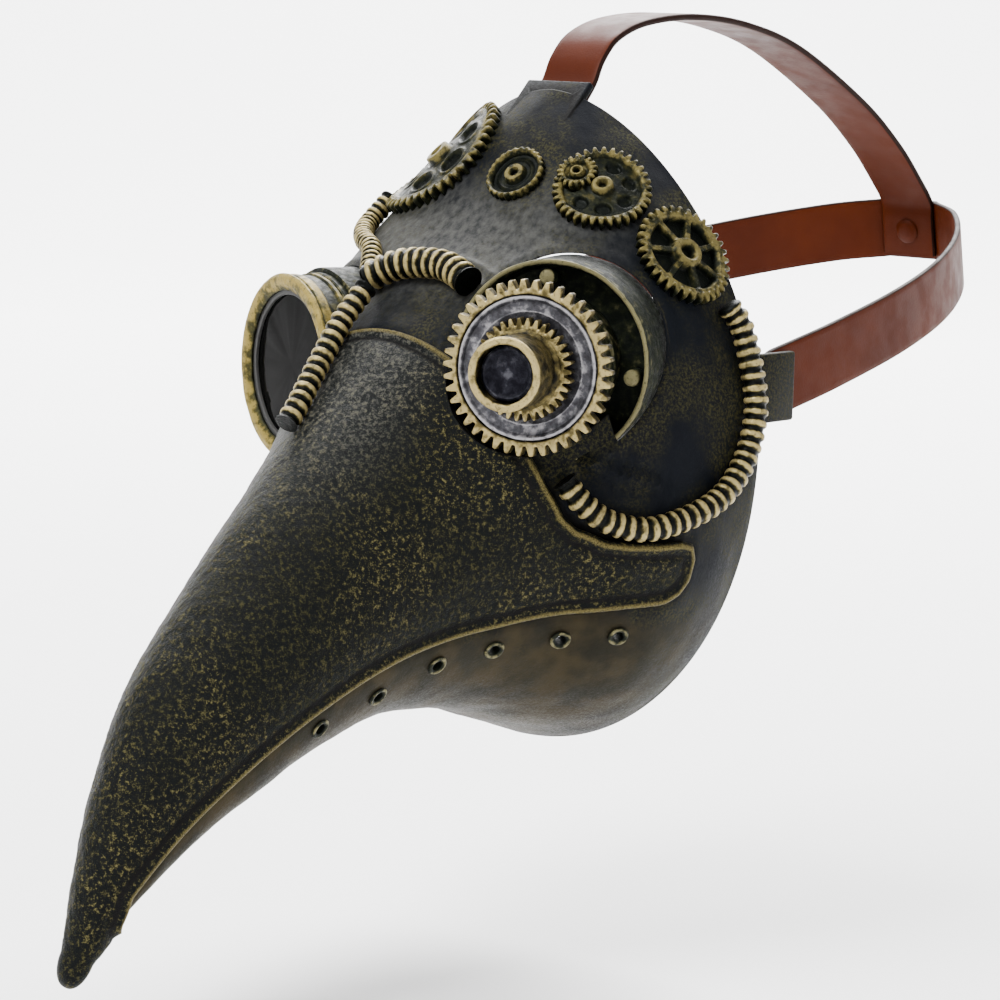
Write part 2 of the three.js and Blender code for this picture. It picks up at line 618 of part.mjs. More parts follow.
// The top strap runs in the middle plane from inside the forehead, over the head and down inside the band.
const STRAP_SEAT = BAND_REACH - 1.5 * STRAP_THICKNESS - 0.5;
const STRAP_ROUTE = [
  [-6.9, 90.5], [-1.9, 95.5], [3.1, 100.5], [7.9, 106.2], [12, 113.5], [20, 120.5], [36, 125.5], [62, 127.5],
  [92, 125], [124, 117], [164, 98.5], [188, 83], [203, 70],
  bandPoint(STRAP_SEAT, 11), bandPoint(STRAP_SEAT, 5), bandPoint(STRAP_SEAT, 0), bandPoint(STRAP_SEAT, -9),
];

function topStrap() {
  const line = new THREE.SplineCurve(STRAP_ROUTE.map(([y, z]) => new THREE.Vector2(y, z)));
  const count = 38;
  const upper = [];
  const lower = [];
  for (let i = 0; i <= count; i += 1) {
    const middle = line.getPointAt(i / count);
    const along = line.getTangentAt(i / count);
    const across = new THREE.Vector2(-along.y, along.x).multiplyScalar(STRAP_THICKNESS / 2);
    upper.push(middle.clone().add(across));
    lower.push(middle.clone().sub(across));
  }
  const strip = extruded(new THREE.Shape([...upper, ...lower.reverse()]), -STRAP_WIDTH / 2, STRAP_WIDTH / 2);
  return cut(strip.applyMatrix4(MIDDLE_PLANE), [bandBore(BAND_REACH - 14, BAND_REACH), topRivetBore(6)]);
}

// A rivet has a domed head on the inside and a shank that ends blind under the outer face.
function rivet(length) {
  return turned([[0, -1.2], [RIVET_HEAD - 1, -1.2], [RIVET_HEAD, -0.3], [RIVET_HEAD, 0], [RIVET_SHANK, 0],
    [RIVET_SHANK, length], [0, length]], 10);
}

function addHarness() {
  add(mask, "rear_band", rearBand(), MATERIALS.leather);
  add(mask, "top_strap", topStrap(), MATERIALS.leather);
  for (const [side, label] of [[1, "left"], [-1, "right"]]) {
    const start = BAND_HALF_WIDTH - STRAP_THICKNESS - TOUCH_GAP;
    const body = rivet(SIDE_TAB.high - 1.2 - start).translate(0, 0, start).rotateY(side * Math.PI / 2);
    add(mask, `band_rivet_${label}`, body.translate(0, PIVOT_Y, PIVOT_Z), MATERIALS.rivet);
  }
  const rearStart = STRAP_SEAT - STRAP_THICKNESS / 2 - TOUCH_GAP;
  const rearBody = rivet(BAND_REACH - 0.9 - rearStart).translate(0, 0, rearStart).rotateX(-Math.PI / 2);
  add(mask, "band_rivet_rear", rearBody.applyMatrix4(BAND_PLACE), MATERIALS.rivet);
  const topBody = rivet(-1.2 - TOP_RIVET_START).translate(0, 0, TOP_RIVET_START);
  add(topRivetStand, "strap_rivet_top", topBody, MATERIALS.rivet);
}

add(mask, "face_shell", faceShell(), MATERIALS.shell);
add(mask, "beak_casing", beakCasing(), MATERIALS.casing);
addGearEye();
addGoggle();
addBrowGears();
addHoses();
addEyelets();
addHarness();

export default mask;
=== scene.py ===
"""Plague doctor mask: the fine surface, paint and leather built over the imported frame.

Lengths in this script are millimetres until a mesh is made, and the axes are the frame's own:
+Z up, -Y the way the mask faces, +X the wearer's left, origin in the middle of the face opening.
"""

import math

import bmesh
import bpy
import numpy as np
from mathutils import Matrix, Vector
from mathutils.kdtree import KDTree


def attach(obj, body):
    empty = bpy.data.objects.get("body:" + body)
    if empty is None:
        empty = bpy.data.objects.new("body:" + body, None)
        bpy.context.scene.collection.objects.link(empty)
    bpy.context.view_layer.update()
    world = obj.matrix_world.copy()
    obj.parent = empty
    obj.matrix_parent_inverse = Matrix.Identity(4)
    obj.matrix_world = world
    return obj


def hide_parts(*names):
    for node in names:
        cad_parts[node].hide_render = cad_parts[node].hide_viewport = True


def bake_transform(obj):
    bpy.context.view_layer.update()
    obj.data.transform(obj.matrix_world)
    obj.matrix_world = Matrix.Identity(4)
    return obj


MM = 0.001
TAU = 2 * math.pi

# ---- Camera ----
VIEW_AZIMUTH = math.radians(39)
VIEW_RISE = math.radians(8)
VIEW_ROLL = math.radians(1.5)
VIEW_DISTANCE = 1200
VIEW_AIM = Vector((-26.6, 10.6, -33.6))
LENS_MM = 129.6

# ---- Master surface ----
# Each row gives: ridge y, z; underside y, z; half width; fullness above and below; sweep of the sides.
SECTIONS = np.array([
    [-2, 104, -4, -107, 79, 1.75, 2.15, 12],
    [-15, 91, -10, -105, 79.5, 1.95, 2.2, 9],
    [-29, 73, -17, -102.5, 79, 2.3, 2.2, 5],
    [-43, 58, -26, -99.5, 76.5, 2.45, 2.2, 2],
    [-60, 44, -36, -96.5, 69, 2.25, 2.1, 0],
    [-79, 29, -48, -92.5, 56, 1.95, 2.1, 0],
    [-100, 9, -63, -89.5, 44, 1.75, 2.1, 0],
    [-121, -10, -80, -88, 36, 1.7, 2.1, 0],
    [-142, -29, -99, -89, 31, 1.7, 2.1, 0],
    [-162, -49, -121, -95, 26, 1.75, 2.1, 0],
    [-180, -69, -144, -104.5, 21, 1.8, 2.1, 0],
    [-194, -93, -169, -117, 14, 1.85, 2.1, 0],
    [-203.5, -118, -191, -131, 8, 1.9, 2.1, 0],
    [-210.3, -141, -207, -143.6, 2.6, 2, 2, 0],
])
LAST = len(SECTIONS) - 1
SIDE_SWEEP_POWER = 1.6
BEAK_TIP = np.array((0.0, -213.5, -150.5))
SHELL_WALL = 2.8
CASING_GAP = 0.8
CASING_WALL = 2.0
SHELL_FRONT = 5.3
SHELL_END = 12.4
TROUGH_EDGE = math.radians(84)
SECTION_LENGTH = 19
# Section where the casing starts, at each share of the way from the ridge to its lower edge.
CASING_REAR = [(0, 5), (0.55, 5), (0.66, 4.95), (0.75, 4.85), (0.79, 4.7), (0.83, 4.3), (0.85, 3.9),
               (0.865, 3.4), (0.875, 2.9), (0.89, 2.6), (0.92, 2.5), (0.96, 2.58), (0.985, 2.8), (1, 3.15)]
CASING_WHOLE = 5
LOWER_EDGE_END = 12.3
# Degrees from the ridge to the casing's lower edge, at each section.
CASING_EDGE = [(2.5, 110), (4.5, 110), (6, 108), (8, 103), (10, 98), (12, 95), (12.6, 140), (13, 180)]

# ---- Eyes ----
EYE_SPLAY = math.radians(20)
GEAR_EYE_BASE = (46, -56, 23)
GOGGLE_BASE = (-46, -56, 14)
SOCKET_HOLE = 31.9

# ---- Harness ----
PIVOT = (0, 17.5, 13)
BAND_RISE = math.radians(11)
BAND_HALF_WIDTH = 75.5
BAND_REACH = 203
BAND_FRONT = -6
BAND_CURVE = [(75.5, 8), (75, 40), (71, 84), (62, 124), (47, 160), (28, 189), (12, 202), (4, 204)]
STRAP_WIDTH = 22
STRAP_THICKNESS = 2.2
STRAP_START = [(-6.9, 90.5), (-1.9, 95.5), (3.1, 100.5), (7.9, 106.2), (12, 113.5), (20, 120.5), (36, 125.5),
               (62, 127.5), (92, 125), (124, 117), (164, 98.5), (188, 83), (203, 70)]

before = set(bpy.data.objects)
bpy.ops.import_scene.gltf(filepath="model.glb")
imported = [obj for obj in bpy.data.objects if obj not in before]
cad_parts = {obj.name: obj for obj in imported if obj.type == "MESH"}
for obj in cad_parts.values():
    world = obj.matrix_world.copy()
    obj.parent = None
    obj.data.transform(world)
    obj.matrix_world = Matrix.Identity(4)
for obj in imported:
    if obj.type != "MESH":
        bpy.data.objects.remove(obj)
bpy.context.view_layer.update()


# ---- Surface maths, on whole arrays of points ----
def section_at(u):
    """The eight numbers of the cross-section at each u, by a smooth curve through the rows."""
    i = np.clip(np.floor(u).astype(int), 0, LAST - 1)
    t = (u - i)[:, None]
    a, b, c, d = (SECTIONS[np.clip(i + k, 0, LAST)] for k in (-1, 0, 1, 2))
    return 0.5 * (2 * b + (c - a) * t + (2 * a - 5 * b + 4 * c - d) * t**2 + (3 * b - a - 3 * c + d) * t**3)


def bare_surface(u, angle):
    """Points of the master surface; the angle runs from the ridge, positive to +X."""
    ridge_y, ridge_z, under_y, under_z, half, upper, lower, sweep = section_at(u).T
    across = np.sin(angle)
    along = np.cos(angle)
    power = 2 / np.where(along >= 0, upper, lower)
    share = (1 - np.sign(along) * np.abs(along) ** power) / 2
    x = half * np.sign(across) * np.abs(across) ** power
    y = ridge_y + (under_y - ridge_y) * share + sweep * np.abs(across) ** SIDE_SWEEP_POWER
    z = ridge_z + (under_z - ridge_z) * share
    return np.stack((x, y, z), axis=1)


def slopes(u, angle):
    """How the surface moves with u and with the angle."""
    step = 1e-3
    low = np.clip(u - step, 0, LAST)
    high = np.clip(u + step, 0, LAST)
    by_u = (bare_surface(high, angle) - bare_surface(low, angle)) / (high - low)[:, None]
    by_angle = (bare_surface(u, angle + step) - bare_surface(u, angle - step)) / (2 * step)
    return by_u, by_angle


def unit(vectors):
    return vectors / np.linalg.norm(vectors, axis=-1, keepdims=True)


def surface_normal(u, angle):
    by_u, by_angle = slopes(u, angle)
    return unit(np.cross(by_u, by_angle))


def surface(u, angle, offset=0.0):
    u = np.asarray(u, float)
    angle = np.asarray(angle, float)
    lift = np.broadcast_to(np.asarray(offset, float), u.shape)
    return bare_surface(u, angle) + surface_normal(u, angle) * lift[:, None]


def scan_grid():
    """Surface coordinates spread over the mask, with their points."""
    u, angle = (g.ravel() for g in np.meshgrid(np.linspace(0, 11, 45), np.linspace(-3.1, 3.1, 73)))
    return u, angle, bare_surface(u, angle)


def settle(places, u, angle, rounds, most_turn):
    """Slides surface coordinates to the points nearest to the places, by the surface's slopes."""
    for _ in range(rounds):
        miss = places - bare_surface(u, angle)
        by_u, by_angle = slopes(u, angle)
        uu = (by_u * by_u).sum(axis=1)
        aa = (by_angle * by_angle).sum(axis=1)
        ua = (by_u * by_angle).sum(axis=1)
        mu = (miss * by_u).sum(axis=1)
        ma = (miss * by_angle).sum(axis=1)
        spread = np.maximum(uu * aa - ua * ua, 1e-9)
        u = np.clip(u + np.clip((mu * aa - ma * ua) / spread, -0.3, 0.3), 0, LAST)
        angle = angle + np.clip((ma * uu - mu * ua) / spread, -most_turn, most_turn)
    return u, angle


def seat(places):
    """The nearest surface points to the given places, with the normals there."""
    places = np.atleast_2d(np.asarray(places, float))
    grid_u, grid_angle, scan = scan_grid()
    nearest = [int(np.argmin(((scan - spot) ** 2).sum(axis=1))) for spot in places]
    u, angle = settle(places, grid_u[nearest], grid_angle[nearest], 12, 0.1)
    return bare_surface(u, angle), surface_normal(u, angle)


def lumps(points, size, seed=0.0):
    """Smooth made-up unevenness between about -1 and 1, with lumps of the given size."""
    x, y, z = (points / size + seed).T
    total = np.sin(x * 2.1 + 1.3 * np.sin(y * 1.7 + 0.4)) * np.sin(y * 2.3 + 1.1 * np.sin(z * 1.9 + 2.1))
    total += 0.6 * np.sin(z * 3.7 + 1.7 * np.sin(x * 2.9 + 1.2)) * np.sin(x * 4.3 + 1.4 * np.sin(y * 3.1))
    total += 0.4 * np.sin(y * 6.1 + 2.0 * np.sin(z * 4.7)) * np.sin(z * 5.3 + 1.8 * np.sin(x * 5.9 + 0.7))
    return total / 1.6


def smooth_step(low, high, value):
    t = np.clip((value - low) / (high - low), 0, 1)
    return t * t * (3 - 2 * t)


# ---- Meshes ----
def make_piece(name, points, faces, wear_and_shade=None):
    """A mesh object from points in millimetres, with each point's wear, 0 to 1, or -1 inside; its lowest
    values also paint shade in grooves and at hose ends.
    """
    mesh = bpy.data.meshes.new(name)
    mesh.from_pydata((np.asarray(points) * MM).tolist(), [], faces)
    mesh.validate()
    values = np.full(len(points), 0.5) if wear_and_shade is None else np.asarray(wear_and_shade, float)
    layer = mesh.attributes.new("wear_and_shade", "FLOAT", "POINT")
    layer.data.foreach_set("value", values.astype(np.float32))
    piece = bpy.data.objects.new(name, mesh)
    bpy.context.scene.collection.objects.link(piece)
    return piece


def apply_modifiers(piece):
    bpy.context.view_layer.update()
    result = bpy.data.meshes.new_from_object(piece.evaluated_get(bpy.context.evaluated_depsgraph_get()))
    piece.modifiers.clear()
    piece.data = result


def shade(piece, sharp_degrees=38):
    piece.data.shade_smooth()
    piece.data.set_sharp_from_angle(angle=math.radians(sharp_degrees))


def finish_piece(piece, material, body, replaced, sharp_degrees=38):
    """Gives a piece its material and its body, and hides the CAD nodes that it stands for."""
    if not piece.data.materials:
        piece.data.materials.append(material)
    shade(piece, sharp_degrees)
    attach(piece, body)
    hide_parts(*replaced)
    return piece


def thick_patch(rows, columns, keep, outer, inner):
    """A closed wall between two grids of points, over the cells that keep(row, column) accepts.
    Returns the points, the faces, and for each point whether it is on the inner side."""
    count = len(columns)
    grid_row, grid_column = (g.ravel() for g in np.meshgrid(rows, columns, indexing="ij"))
    outside = outer(grid_row, grid_column)
    inside = inner(grid_row, grid_column)
    keys = {}
    same = np.empty(len(outside), int)
    for k, place in enumerate(np.round(outside, 3) + 0.0):
        same[k] = keys.setdefault(place.tobytes(), k)
    faces = []
    edges = {}
    for i in range(len(rows) - 1):
        for j in range(count - 1):
            if not keep((rows[i] + rows[i + 1]) / 2, (columns[j] + columns[j + 1]) / 2):
                continue
            corners = [i * count + j, (i + 1) * count + j, (i + 1) * count + j + 1, i * count + j + 1]
            ring = list(dict.fromkeys(int(same[c]) for c in corners))
            if len(ring) < 3:
                continue
            faces.append(ring)
            for p, q in zip(ring, ring[1:] + ring[:1]):
                if edges.pop((q, p), None) is None:
                    edges[(p, q)] = True
    total = len(outside)
    walls = [[q, p, p + total, q + total] for p, q in edges]
    backs = [[c + total for c in reversed(ring)] for ring in faces]
    used = np.unique(np.concatenate([np.array(f) for f in faces + backs]))
    index = np.full(2 * total, -1)
    index[used] = np.arange(len(used))
    points = np.concatenate((outside, inside))[used]
    all_faces = [[int(index[c]) for c in ring] for ring in faces + backs + walls]
    return points, all_faces, used >= total


def orient(piece):
    """Turns every face of a closed mesh outwards."""
    work = bmesh.new()
    work.from_mesh(piece.data)
    bmesh.ops.recalc_face_normals(work, faces=work.faces)
    work.to_mesh(piece.data)
    work.free()


def ring_faces(rings, count, closed=False):
    """Faces over rings of points that have the same count each, with flat ends where closed."""
    faces = []
    for start in range(0, (rings - 1) * count, count):
        for j in range(count):
            k = (j + 1) % count
            faces.append([start + j, start + k, start + count + k, start + count + j])
    if closed:
        faces.append(list(range(count))[::-1])
        faces.append(list(range((rings - 1) * count, rings * count)))
    return faces


def spun(profile, segments, closed=False, teeth=0, root=0.0, tip=0.0, tooth=None):
    """Points and faces of a turned shape from (radius, height) rows. A third number in a row says how
    much of the toothed outline it follows."""
    turn = np.arange(segments) / segments * TAU
    outline = tooth(turn * teeth) * (tip - root) if teeth else np.zeros(segments)
    points = []
    for radius, height, *share in profile:
        r = radius + sum(share) * outline
        points.append(np.stack((r * np.cos(turn), r * np.sin(turn), np.full(segments, height)), axis=1))
    return np.concatenate(points), ring_faces(len(profile), segments, closed)


def stand_matrix(origin, direction):
    """Axes of a stand: local +Z along the direction, local +Y as upright as it can be."""
    outward = Vector(direction).normalized()
    side = Vector((0, 0, 1)).cross(outward).normalized()
    up = outward.cross(side)
    return np.array((side, up, outward)).T, np.array(origin, float)


def place(points, stand):
    axes, origin = stand
    return np.asarray(points) @ axes.T + origin


# ---- Materials ----
def new_material(name):
    material = bpy.data.materials.new(name)
    material.use_nodes = True
    tree = material.node_tree
    shader = tree.nodes["Principled BSDF"]
    return material, tree, shader


def node(tree, kind, inputs=None, **settings):
    made = tree.nodes.new(kind)
    for key, value in settings.items():
        setattr(made, key, value)
    for key, value in (inputs or {}).items():
        made.inputs[key].default_value = value
    return made


def object_position(tree):
    return tree.nodes.new("ShaderNodeTexCoord").outputs["Object"]


def stretched(tree, scale):
    """Object position scaled differently along each axis, for brushed and combed patterns."""
    mapping = node(tree, "ShaderNodeMapping", {"Scale": scale})
    tree.links.new(object_position(tree), mapping.inputs["Vector"])
    return mapping.outputs["Vector"]


def noise(tree, per_metre, detail=4.0, roughness=0.55, vector=None):
    made = node(tree, "ShaderNodeTexNoise", {"Scale": per_metre, "Detail": detail, "Roughness": roughness})
    tree.links.new(vector or object_position(tree), made.inputs["Vector"])
    return made.outputs["Fac"]


def span(tree, value, low, high, to_low=0.0, to_high=1.0):
    """The value remapped smoothly from one range to another."""
    made = node(tree, "ShaderNodeMapRange", {"From Min": low, "From Max": high, "To Min": to_low,
                                             "To Max": to_high}, interpolation_type="SMOOTHSTEP")
    tree.links.new(value, made.inputs["Value"])
    return made.outputs["Result"]


def combine(tree, operation, first, second):
    made = node(tree, "ShaderNodeMath", operation=operation)
    for socket, value in zip(made.inputs, (first, second)):
        if isinstance(value, (int, float)):
            socket.default_value = value
        else:
            tree.links.new(value, socket)
    return made.outputs[0]


def times(tree, first, second):
    return combine(tree, "MULTIPLY", first, second)


def plus(tree, first, second):
    return combine(tree, "ADD", first, second)


def blend_colour(tree, factor, first, second):
    made = node(tree, "ShaderNodeMix", data_type="RGBA")
    tree.links.new(factor, made.inputs["Factor"])
    for socket, value in ((made.inputs["A"], first), (made.inputs["B"], second)):
        socket = [s for s in made.inputs if s.name == socket.name and s.type == "RGBA"][0]
        if isinstance(value, tuple):
            socket.default_value = (*value, 1)
        else:
            tree.links.new(value, socket)
    return [s for s in made.outputs if s.type == "RGBA"][0]


def bump(tree, shader, height, strength, distance_mm):
    made = node(tree, "ShaderNodeBump", {"Strength": strength, "Distance": distance_mm * MM})
    tree.links.new(height, made.inputs["Height"])
    tree.links.new(made.outputs["Normal"], shader.inputs["Normal"])


def axis_value(tree, axis):
    parts = tree.nodes.new("ShaderNodeSeparateXYZ")
    tree.links.new(object_position(tree), parts.inputs[0])
    return parts.outputs[axis]


def wear_and_shade_value(tree):
    return node(tree, "ShaderNodeAttribute", attribute_name="wear_and_shade").outputs["Fac"]


def aged_metal(name, recess_and_shade, body, worn, metallic, rough):
    """Painted metal, dark in the recesses and rubbed bright where the piece stands proud; the dark colour
    also paints the shade at the hose ends.
    """
    material, tree, shader = new_material(name)
    wear = plus(tree, wear_and_shade_value(tree), span(tree, noise(tree, 330), 0.3, 0.7, -0.28, 0.28))
    colour = blend_colour(tree, span(tree, wear, 0.15, 0.55), recess_and_shade, body)
    colour = blend_colour(tree, span(tree, wear, 0.5, 0.95), colour, worn)
    grime = times(tree, span(tree, noise(tree, 900, 5.0), 0.54, 0.72), 0.6)
    colour = blend_colour(tree, grime, colour, recess_and_shade)
    tree.links.new(colour, shader.inputs["Base Color"])
    roughness = span(tree, noise(tree, 500), 0.3, 0.7, rough - 0.1, rough + 0.15)
    tree.links.new(roughness, shader.inputs["Roughness"])
    shader.inputs["Metallic"].default_value = metallic
    shader.inputs["Specular IOR Level"].default_value = 0.08
    bump(tree, shader, noise(tree, 1400, 5.0), 0.55, 0.35)
    return material


BLUE_BLACK = (0.0030, 0.0038, 0.0055)
OLIVE = (0.036, 0.033, 0.011)
GOLD_DUST = (0.115, 0.092, 0.030)
# The silver is real dry-brush on the brow and a painted highlight near the casing's ridge.
SILVER_DUST_AND_SHEEN = (0.054, 0.054, 0.050)
JAW_BROWN = (0.026, 0.020, 0.0095)


def shell_paint():
    """Blue-black skin: silver dry-brush on the brow, olive haze on the cheeks, a brown-grey jaw and painted
    shadow along the casing's edge.
    """
    material, tree, shader = new_material("shell_paint")
    x, y, z = (axis_value(tree, axis) for axis in range(3))
    streaks = noise(tree, 1.0, 6.0, 0.62, stretched(tree, (420, 420, 90)))
    patches = noise(tree, 42, 3.0)
    speckle = noise(tree, 1100, 4.0, 0.7)
    haze = times(tree, span(tree, patches, 0.38, 0.62), span(tree, speckle, 0.4, 0.68))
    colour = blend_colour(tree, times(tree, haze, 0.75), BLUE_BLACK, OLIVE)
    brow = times(tree, span(tree, z, 0.028, 0.056), span(tree, z, 0.084, 0.058))
    brow = times(tree, brow, span(tree, x, 0.064, 0.016))
    brow = times(tree, brow, span(tree, x, -0.07, -0.02))
    brow = times(tree, brow, span(tree, streaks, 0.15, 0.8))
    colour = blend_colour(tree, brow, colour, SILVER_DUST_AND_SHEEN)
    jaw = span(tree, plus(tree, z, span(tree, patches, 0.3, 0.7, -0.008, 0.008)), -0.050, -0.066)
    jaw = times(tree, jaw, span(tree, y, 0.012, -0.03))
    jaw_tone = span(tree, noise(tree, 70, 5.0), 0.35, 0.65)
    jaw_colour = blend_colour(tree, jaw_tone, JAW_BROWN, (0.011, 0.010, 0.006))
    colour = blend_colour(tree, times(tree, jaw, 0.9), colour, jaw_colour)
    edge = times(tree, span(tree, wear_and_shade_value(tree), 0.6, 0.95), span(tree, speckle, 0.3, 0.55))
    colour = blend_colour(tree, edge, colour, GOLD_DUST)
    # Painted shadow: near-black where the per-point value is low, along the casing's edge.
    colour = blend_colour(tree, span(tree, wear_and_shade_value(tree), 0.3, 0.05), colour, (0.003, 0.003, 0.003))
    tree.links.new(colour, shader.inputs["Base Color"])
    tree.links.new(span(tree, speckle, 0.3, 0.7, 0.38, 0.6), shader.inputs["Roughness"])
    shader.inputs["Specular IOR Level"].default_value = 0.035
    shader.inputs["Metallic"].default_value = 0.1
    grain = plus(tree, speckle, times(tree, streaks, 0.8))
    bump(tree, shader, grain, 0.5, 0.2)
    return material


def casing_paint():
    """Pebbled olive-black skin, with gold on the tops of the pebbles and along the flange, a painted
    highlight near the ridge and painted shade in the groove behind the bead.
    """
    material, tree, shader = new_material("casing_paint")
    x = axis_value(tree, 0)
    z = axis_value(tree, 2)
    pebbles = noise(tree, 760, 5.0, 0.68)
    fine = noise(tree, 2600, 3.0, 0.6)
    patches = noise(tree, 30, 3.0)
    lift = plus(tree, pebbles, times(tree, fine, 0.45))
    colour = blend_colour(tree, span(tree, lift, 0.70, 0.96), (0.0018, 0.0026, 0.0026), OLIVE)
    gold = times(tree, span(tree, lift, 0.76, 0.95), span(tree, patches, 0.40, 0.62))
    colour = blend_colour(tree, times(tree, gold, 0.8), colour, (0.125, 0.105, 0.040))
    # Painted highlight: silver on the pebble tops, growing towards the top of the beak near its ridge.
    painted_ridge_highlight = times(tree, span(tree, lift, 0.66, 0.84), span(tree, z, -0.03, 0.02))
    painted_ridge_highlight = times(tree, painted_ridge_highlight, span(tree, x, 0.032, 0.012))
    colour = blend_colour(tree, times(tree, painted_ridge_highlight, 0.7), colour, SILVER_DUST_AND_SHEEN)
    edge = times(tree, span(tree, wear_and_shade_value(tree), 0.6, 0.95), span(tree, fine, 0.3, 0.6))
    colour = blend_colour(tree, edge, colour, GOLD_DUST)
    # Painted shade: near-black where the per-point value is low, in the groove behind the flange's bead.
    colour = blend_colour(tree, span(tree, wear_and_shade_value(tree), 0.3, 0.05), colour, (0.003, 0.003, 0.003))
    tree.links.new(colour, shader.inputs["Base Color"])
    tree.links.new(span(tree, pebbles, 0.3, 0.7, 0.38, 0.6), shader.inputs["Roughness"])
    shader.inputs["Specular IOR Level"].default_value = 0.06
    shader.inputs["Metallic"].default_value = 0.1
    bump(tree, shader, lift, 0.9, 0.5)
    return material


def lining():
    """The plain matt inside of the moulding."""
    material, tree, shader = new_material("lining")
    tone = span(tree, noise(tree, 60, 5.0), 0.3, 0.7)
    colour = blend_colour(tree, tone, (0.014, 0.014, 0.015), (0.03, 0.03, 0.03))
    tree.links.new(colour, shader.inputs["Base Color"])
    shader.inputs["Roughness"].default_value = 0.75
    bump(tree, shader, noise(tree, 800, 4.0), 0.4, 0.3)
    return material


def leather():
    """Smooth red-brown strap leather with a fine grain and darker cut edges."""
    material, tree, shader = new_material("strap_leather")
    tone = span(tree, noise(tree, 24, 3.0), 0.3, 0.7)
    colour = blend_colour(tree, tone, (0.040, 0.0062, 0.0008), (0.056, 0.0092, 0.0011))
    colour = blend_colour(tree, span(tree, wear_and_shade_value(tree), 0.45, 0.1), colour, (0.010, 0.0026, 0.001))
    cells = node(tree, "ShaderNodeTexVoronoi", {"Scale": 1500.0}, feature="F1")
    tree.links.new(object_position(tree), cells.inputs["Vector"])
    pores = span(tree, noise(tree, 2600, 3.0), 0.62, 0.75)
    colour = blend_colour(tree, times(tree, pores, 0.35), colour, (0.020, 0.0032, 0.001))
    tree.links.new(colour, shader.inputs["Base Color"])
    tree.links.new(span(tree, noise(tree, 120), 0.3, 0.7, 0.42, 0.56), shader.inputs["Roughness"])
    shader.inputs["Specular IOR Level"].default_value = 0.06
    bump(tree, shader, cells.outputs["Distance"], 0.25, 0.12)
    return material


def tinted_lens():
    """Glossy near-black plastic with the faintest unevenness."""
    material, tree, shader = new_material("tinted_lens")
    colour = blend_colour(tree, noise(tree, 40, 2.0), (0.0012, 0.0012, 0.0012), (0.0022, 0.0022, 0.002))
    tree.links.new(colour, shader.inputs["Base Color"])
    tree.links.new(span(tree, noise(tree, 200, 4.0), 0.3, 0.7, 0.05, 0.12), shader.inputs["Roughness"])
    shader.inputs["IOR"].default_value = 1.08
    return material


def black_rubber():
    material, tree, shader = new_material("black_rubber")
    colour = blend_colour(tree, noise(tree, 600, 3.0), (0.010, 0.010, 0.010), (0.028, 0.027, 0.025))
    tree.links.new(colour, shader.inputs["Base Color"])
    shader.inputs["Roughness"].default_value = 0.7
    bump(tree, shader, noise(tree, 1500, 3.0), 0.4, 0.15)
    return material


SHELL_PAINT = shell_paint()
CASING_PAINT = casing_paint()
LINING = lining()
BRASS = aged_metal("aged_brass",
                   (0.003, 0.003, 0.002), (0.062, 0.048, 0.016), (0.33, 0.26, 0.11), 0.5, 0.38)
OLIVE_BRASS = aged_metal("olive_brass",
                         (0.004, 0.005, 0.002), (0.034, 0.031, 0.009), (0.20, 0.15, 0.038), 0.2, 0.5)
HOSE_BRASS = aged_metal("hose_brass",
                        (0.0015, 0.002, 0.0015), (0.027, 0.023, 0.008), (0.29, 0.23, 0.095), 0.4, 0.38)
GEAR_BRASS = aged_metal("cast_gear_brass",
                        (0.002, 0.003, 0.002), (0.009, 0.010, 0.004), (0.105, 0.085, 0.028), 0.35, 0.4)
DARK_BRASS = aged_metal("dark_brass",
                        (0.002, 0.003, 0.002), (0.007, 0.009, 0.004), (0.13, 0.115, 0.055), 0.1, 0.5)
SILVER = aged_metal("tarnished_silver",
                    (0.024, 0.023, 0.026), (0.060, 0.059, 0.066), (0.28, 0.27, 0.28), 0.5, 0.38)
PLUG = aged_metal("plug_metal",
                  (0.002, 0.002, 0.004), (0.009, 0.009, 0.013), (0.06, 0.06, 0.07), 0.4, 0.45)
RIVET = aged_metal("rivet_metal",
                   (0.008, 0.006, 0.004), (0.035, 0.026, 0.012), (0.15, 0.115, 0.06), 0.7, 0.4)
LEATHER = leather()
LENS = tinted_lens()
RUBBER = black_rubber()

# ---- Stands for the eyes ----
GEAR_EYE = stand_matrix(GEAR_EYE_BASE, (math.sin(EYE_SPLAY), -math.cos(EYE_SPLAY), 0))
GOGGLE = stand_matrix(GOGGLE_BASE, (-math.sin(EYE_SPLAY), -math.cos(EYE_SPLAY), 0))


def radial_distance(points, stand):
    """Distance from an eye's axis, and height along it."""
    axes, origin = stand
    local = (points - origin) @ axes
    return np.hypot(local[:, 0], local[:, 1]), local[:, 2]


# ---- Face shell ----
def closed_disc(name, stand, profile, segments=64):
    points, faces = spun(profile, segments, closed=True)
    piece = make_piece(name, place(points, stand), faces)
    orient(piece)
    return piece


def eye_cutter(name, stand, neck, mouth):
    profile = [(SOCKET_HOLE, -60), (SOCKET_HOLE, 1.6), (neck, 1.6), (neck, 17), (mouth, 17), (mouth, 45)]
    return closed_disc(name, stand, profile, 96)


def eye_cutters():
    return [eye_cutter("left_eye_cut", GEAR_EYE, 24, 27.4), eye_cutter("right_eye_cut", GOGGLE, 30.6, 30.6)]


EYELET_PLACES = [(62, -39.5, -61.5), (50.5, -53.5, -62.5), (39, -71.5, -65),
                 (32, -90, -68.5), (26, -110.5, -76), (23, -133, -83)]


def eyelet_stands():
    stands = []
    for side, label in ((1, "left"), (-1, "right")):
        for i, (x, y, z) in enumerate(EYELET_PLACES):
            points, normals = seat((side * x, y, z))
            stands.append((f"eyelet_{label}_{i + 1}", stand_matrix(points[0], normals[0])))
    return stands


EYELETS = eyelet_stands()


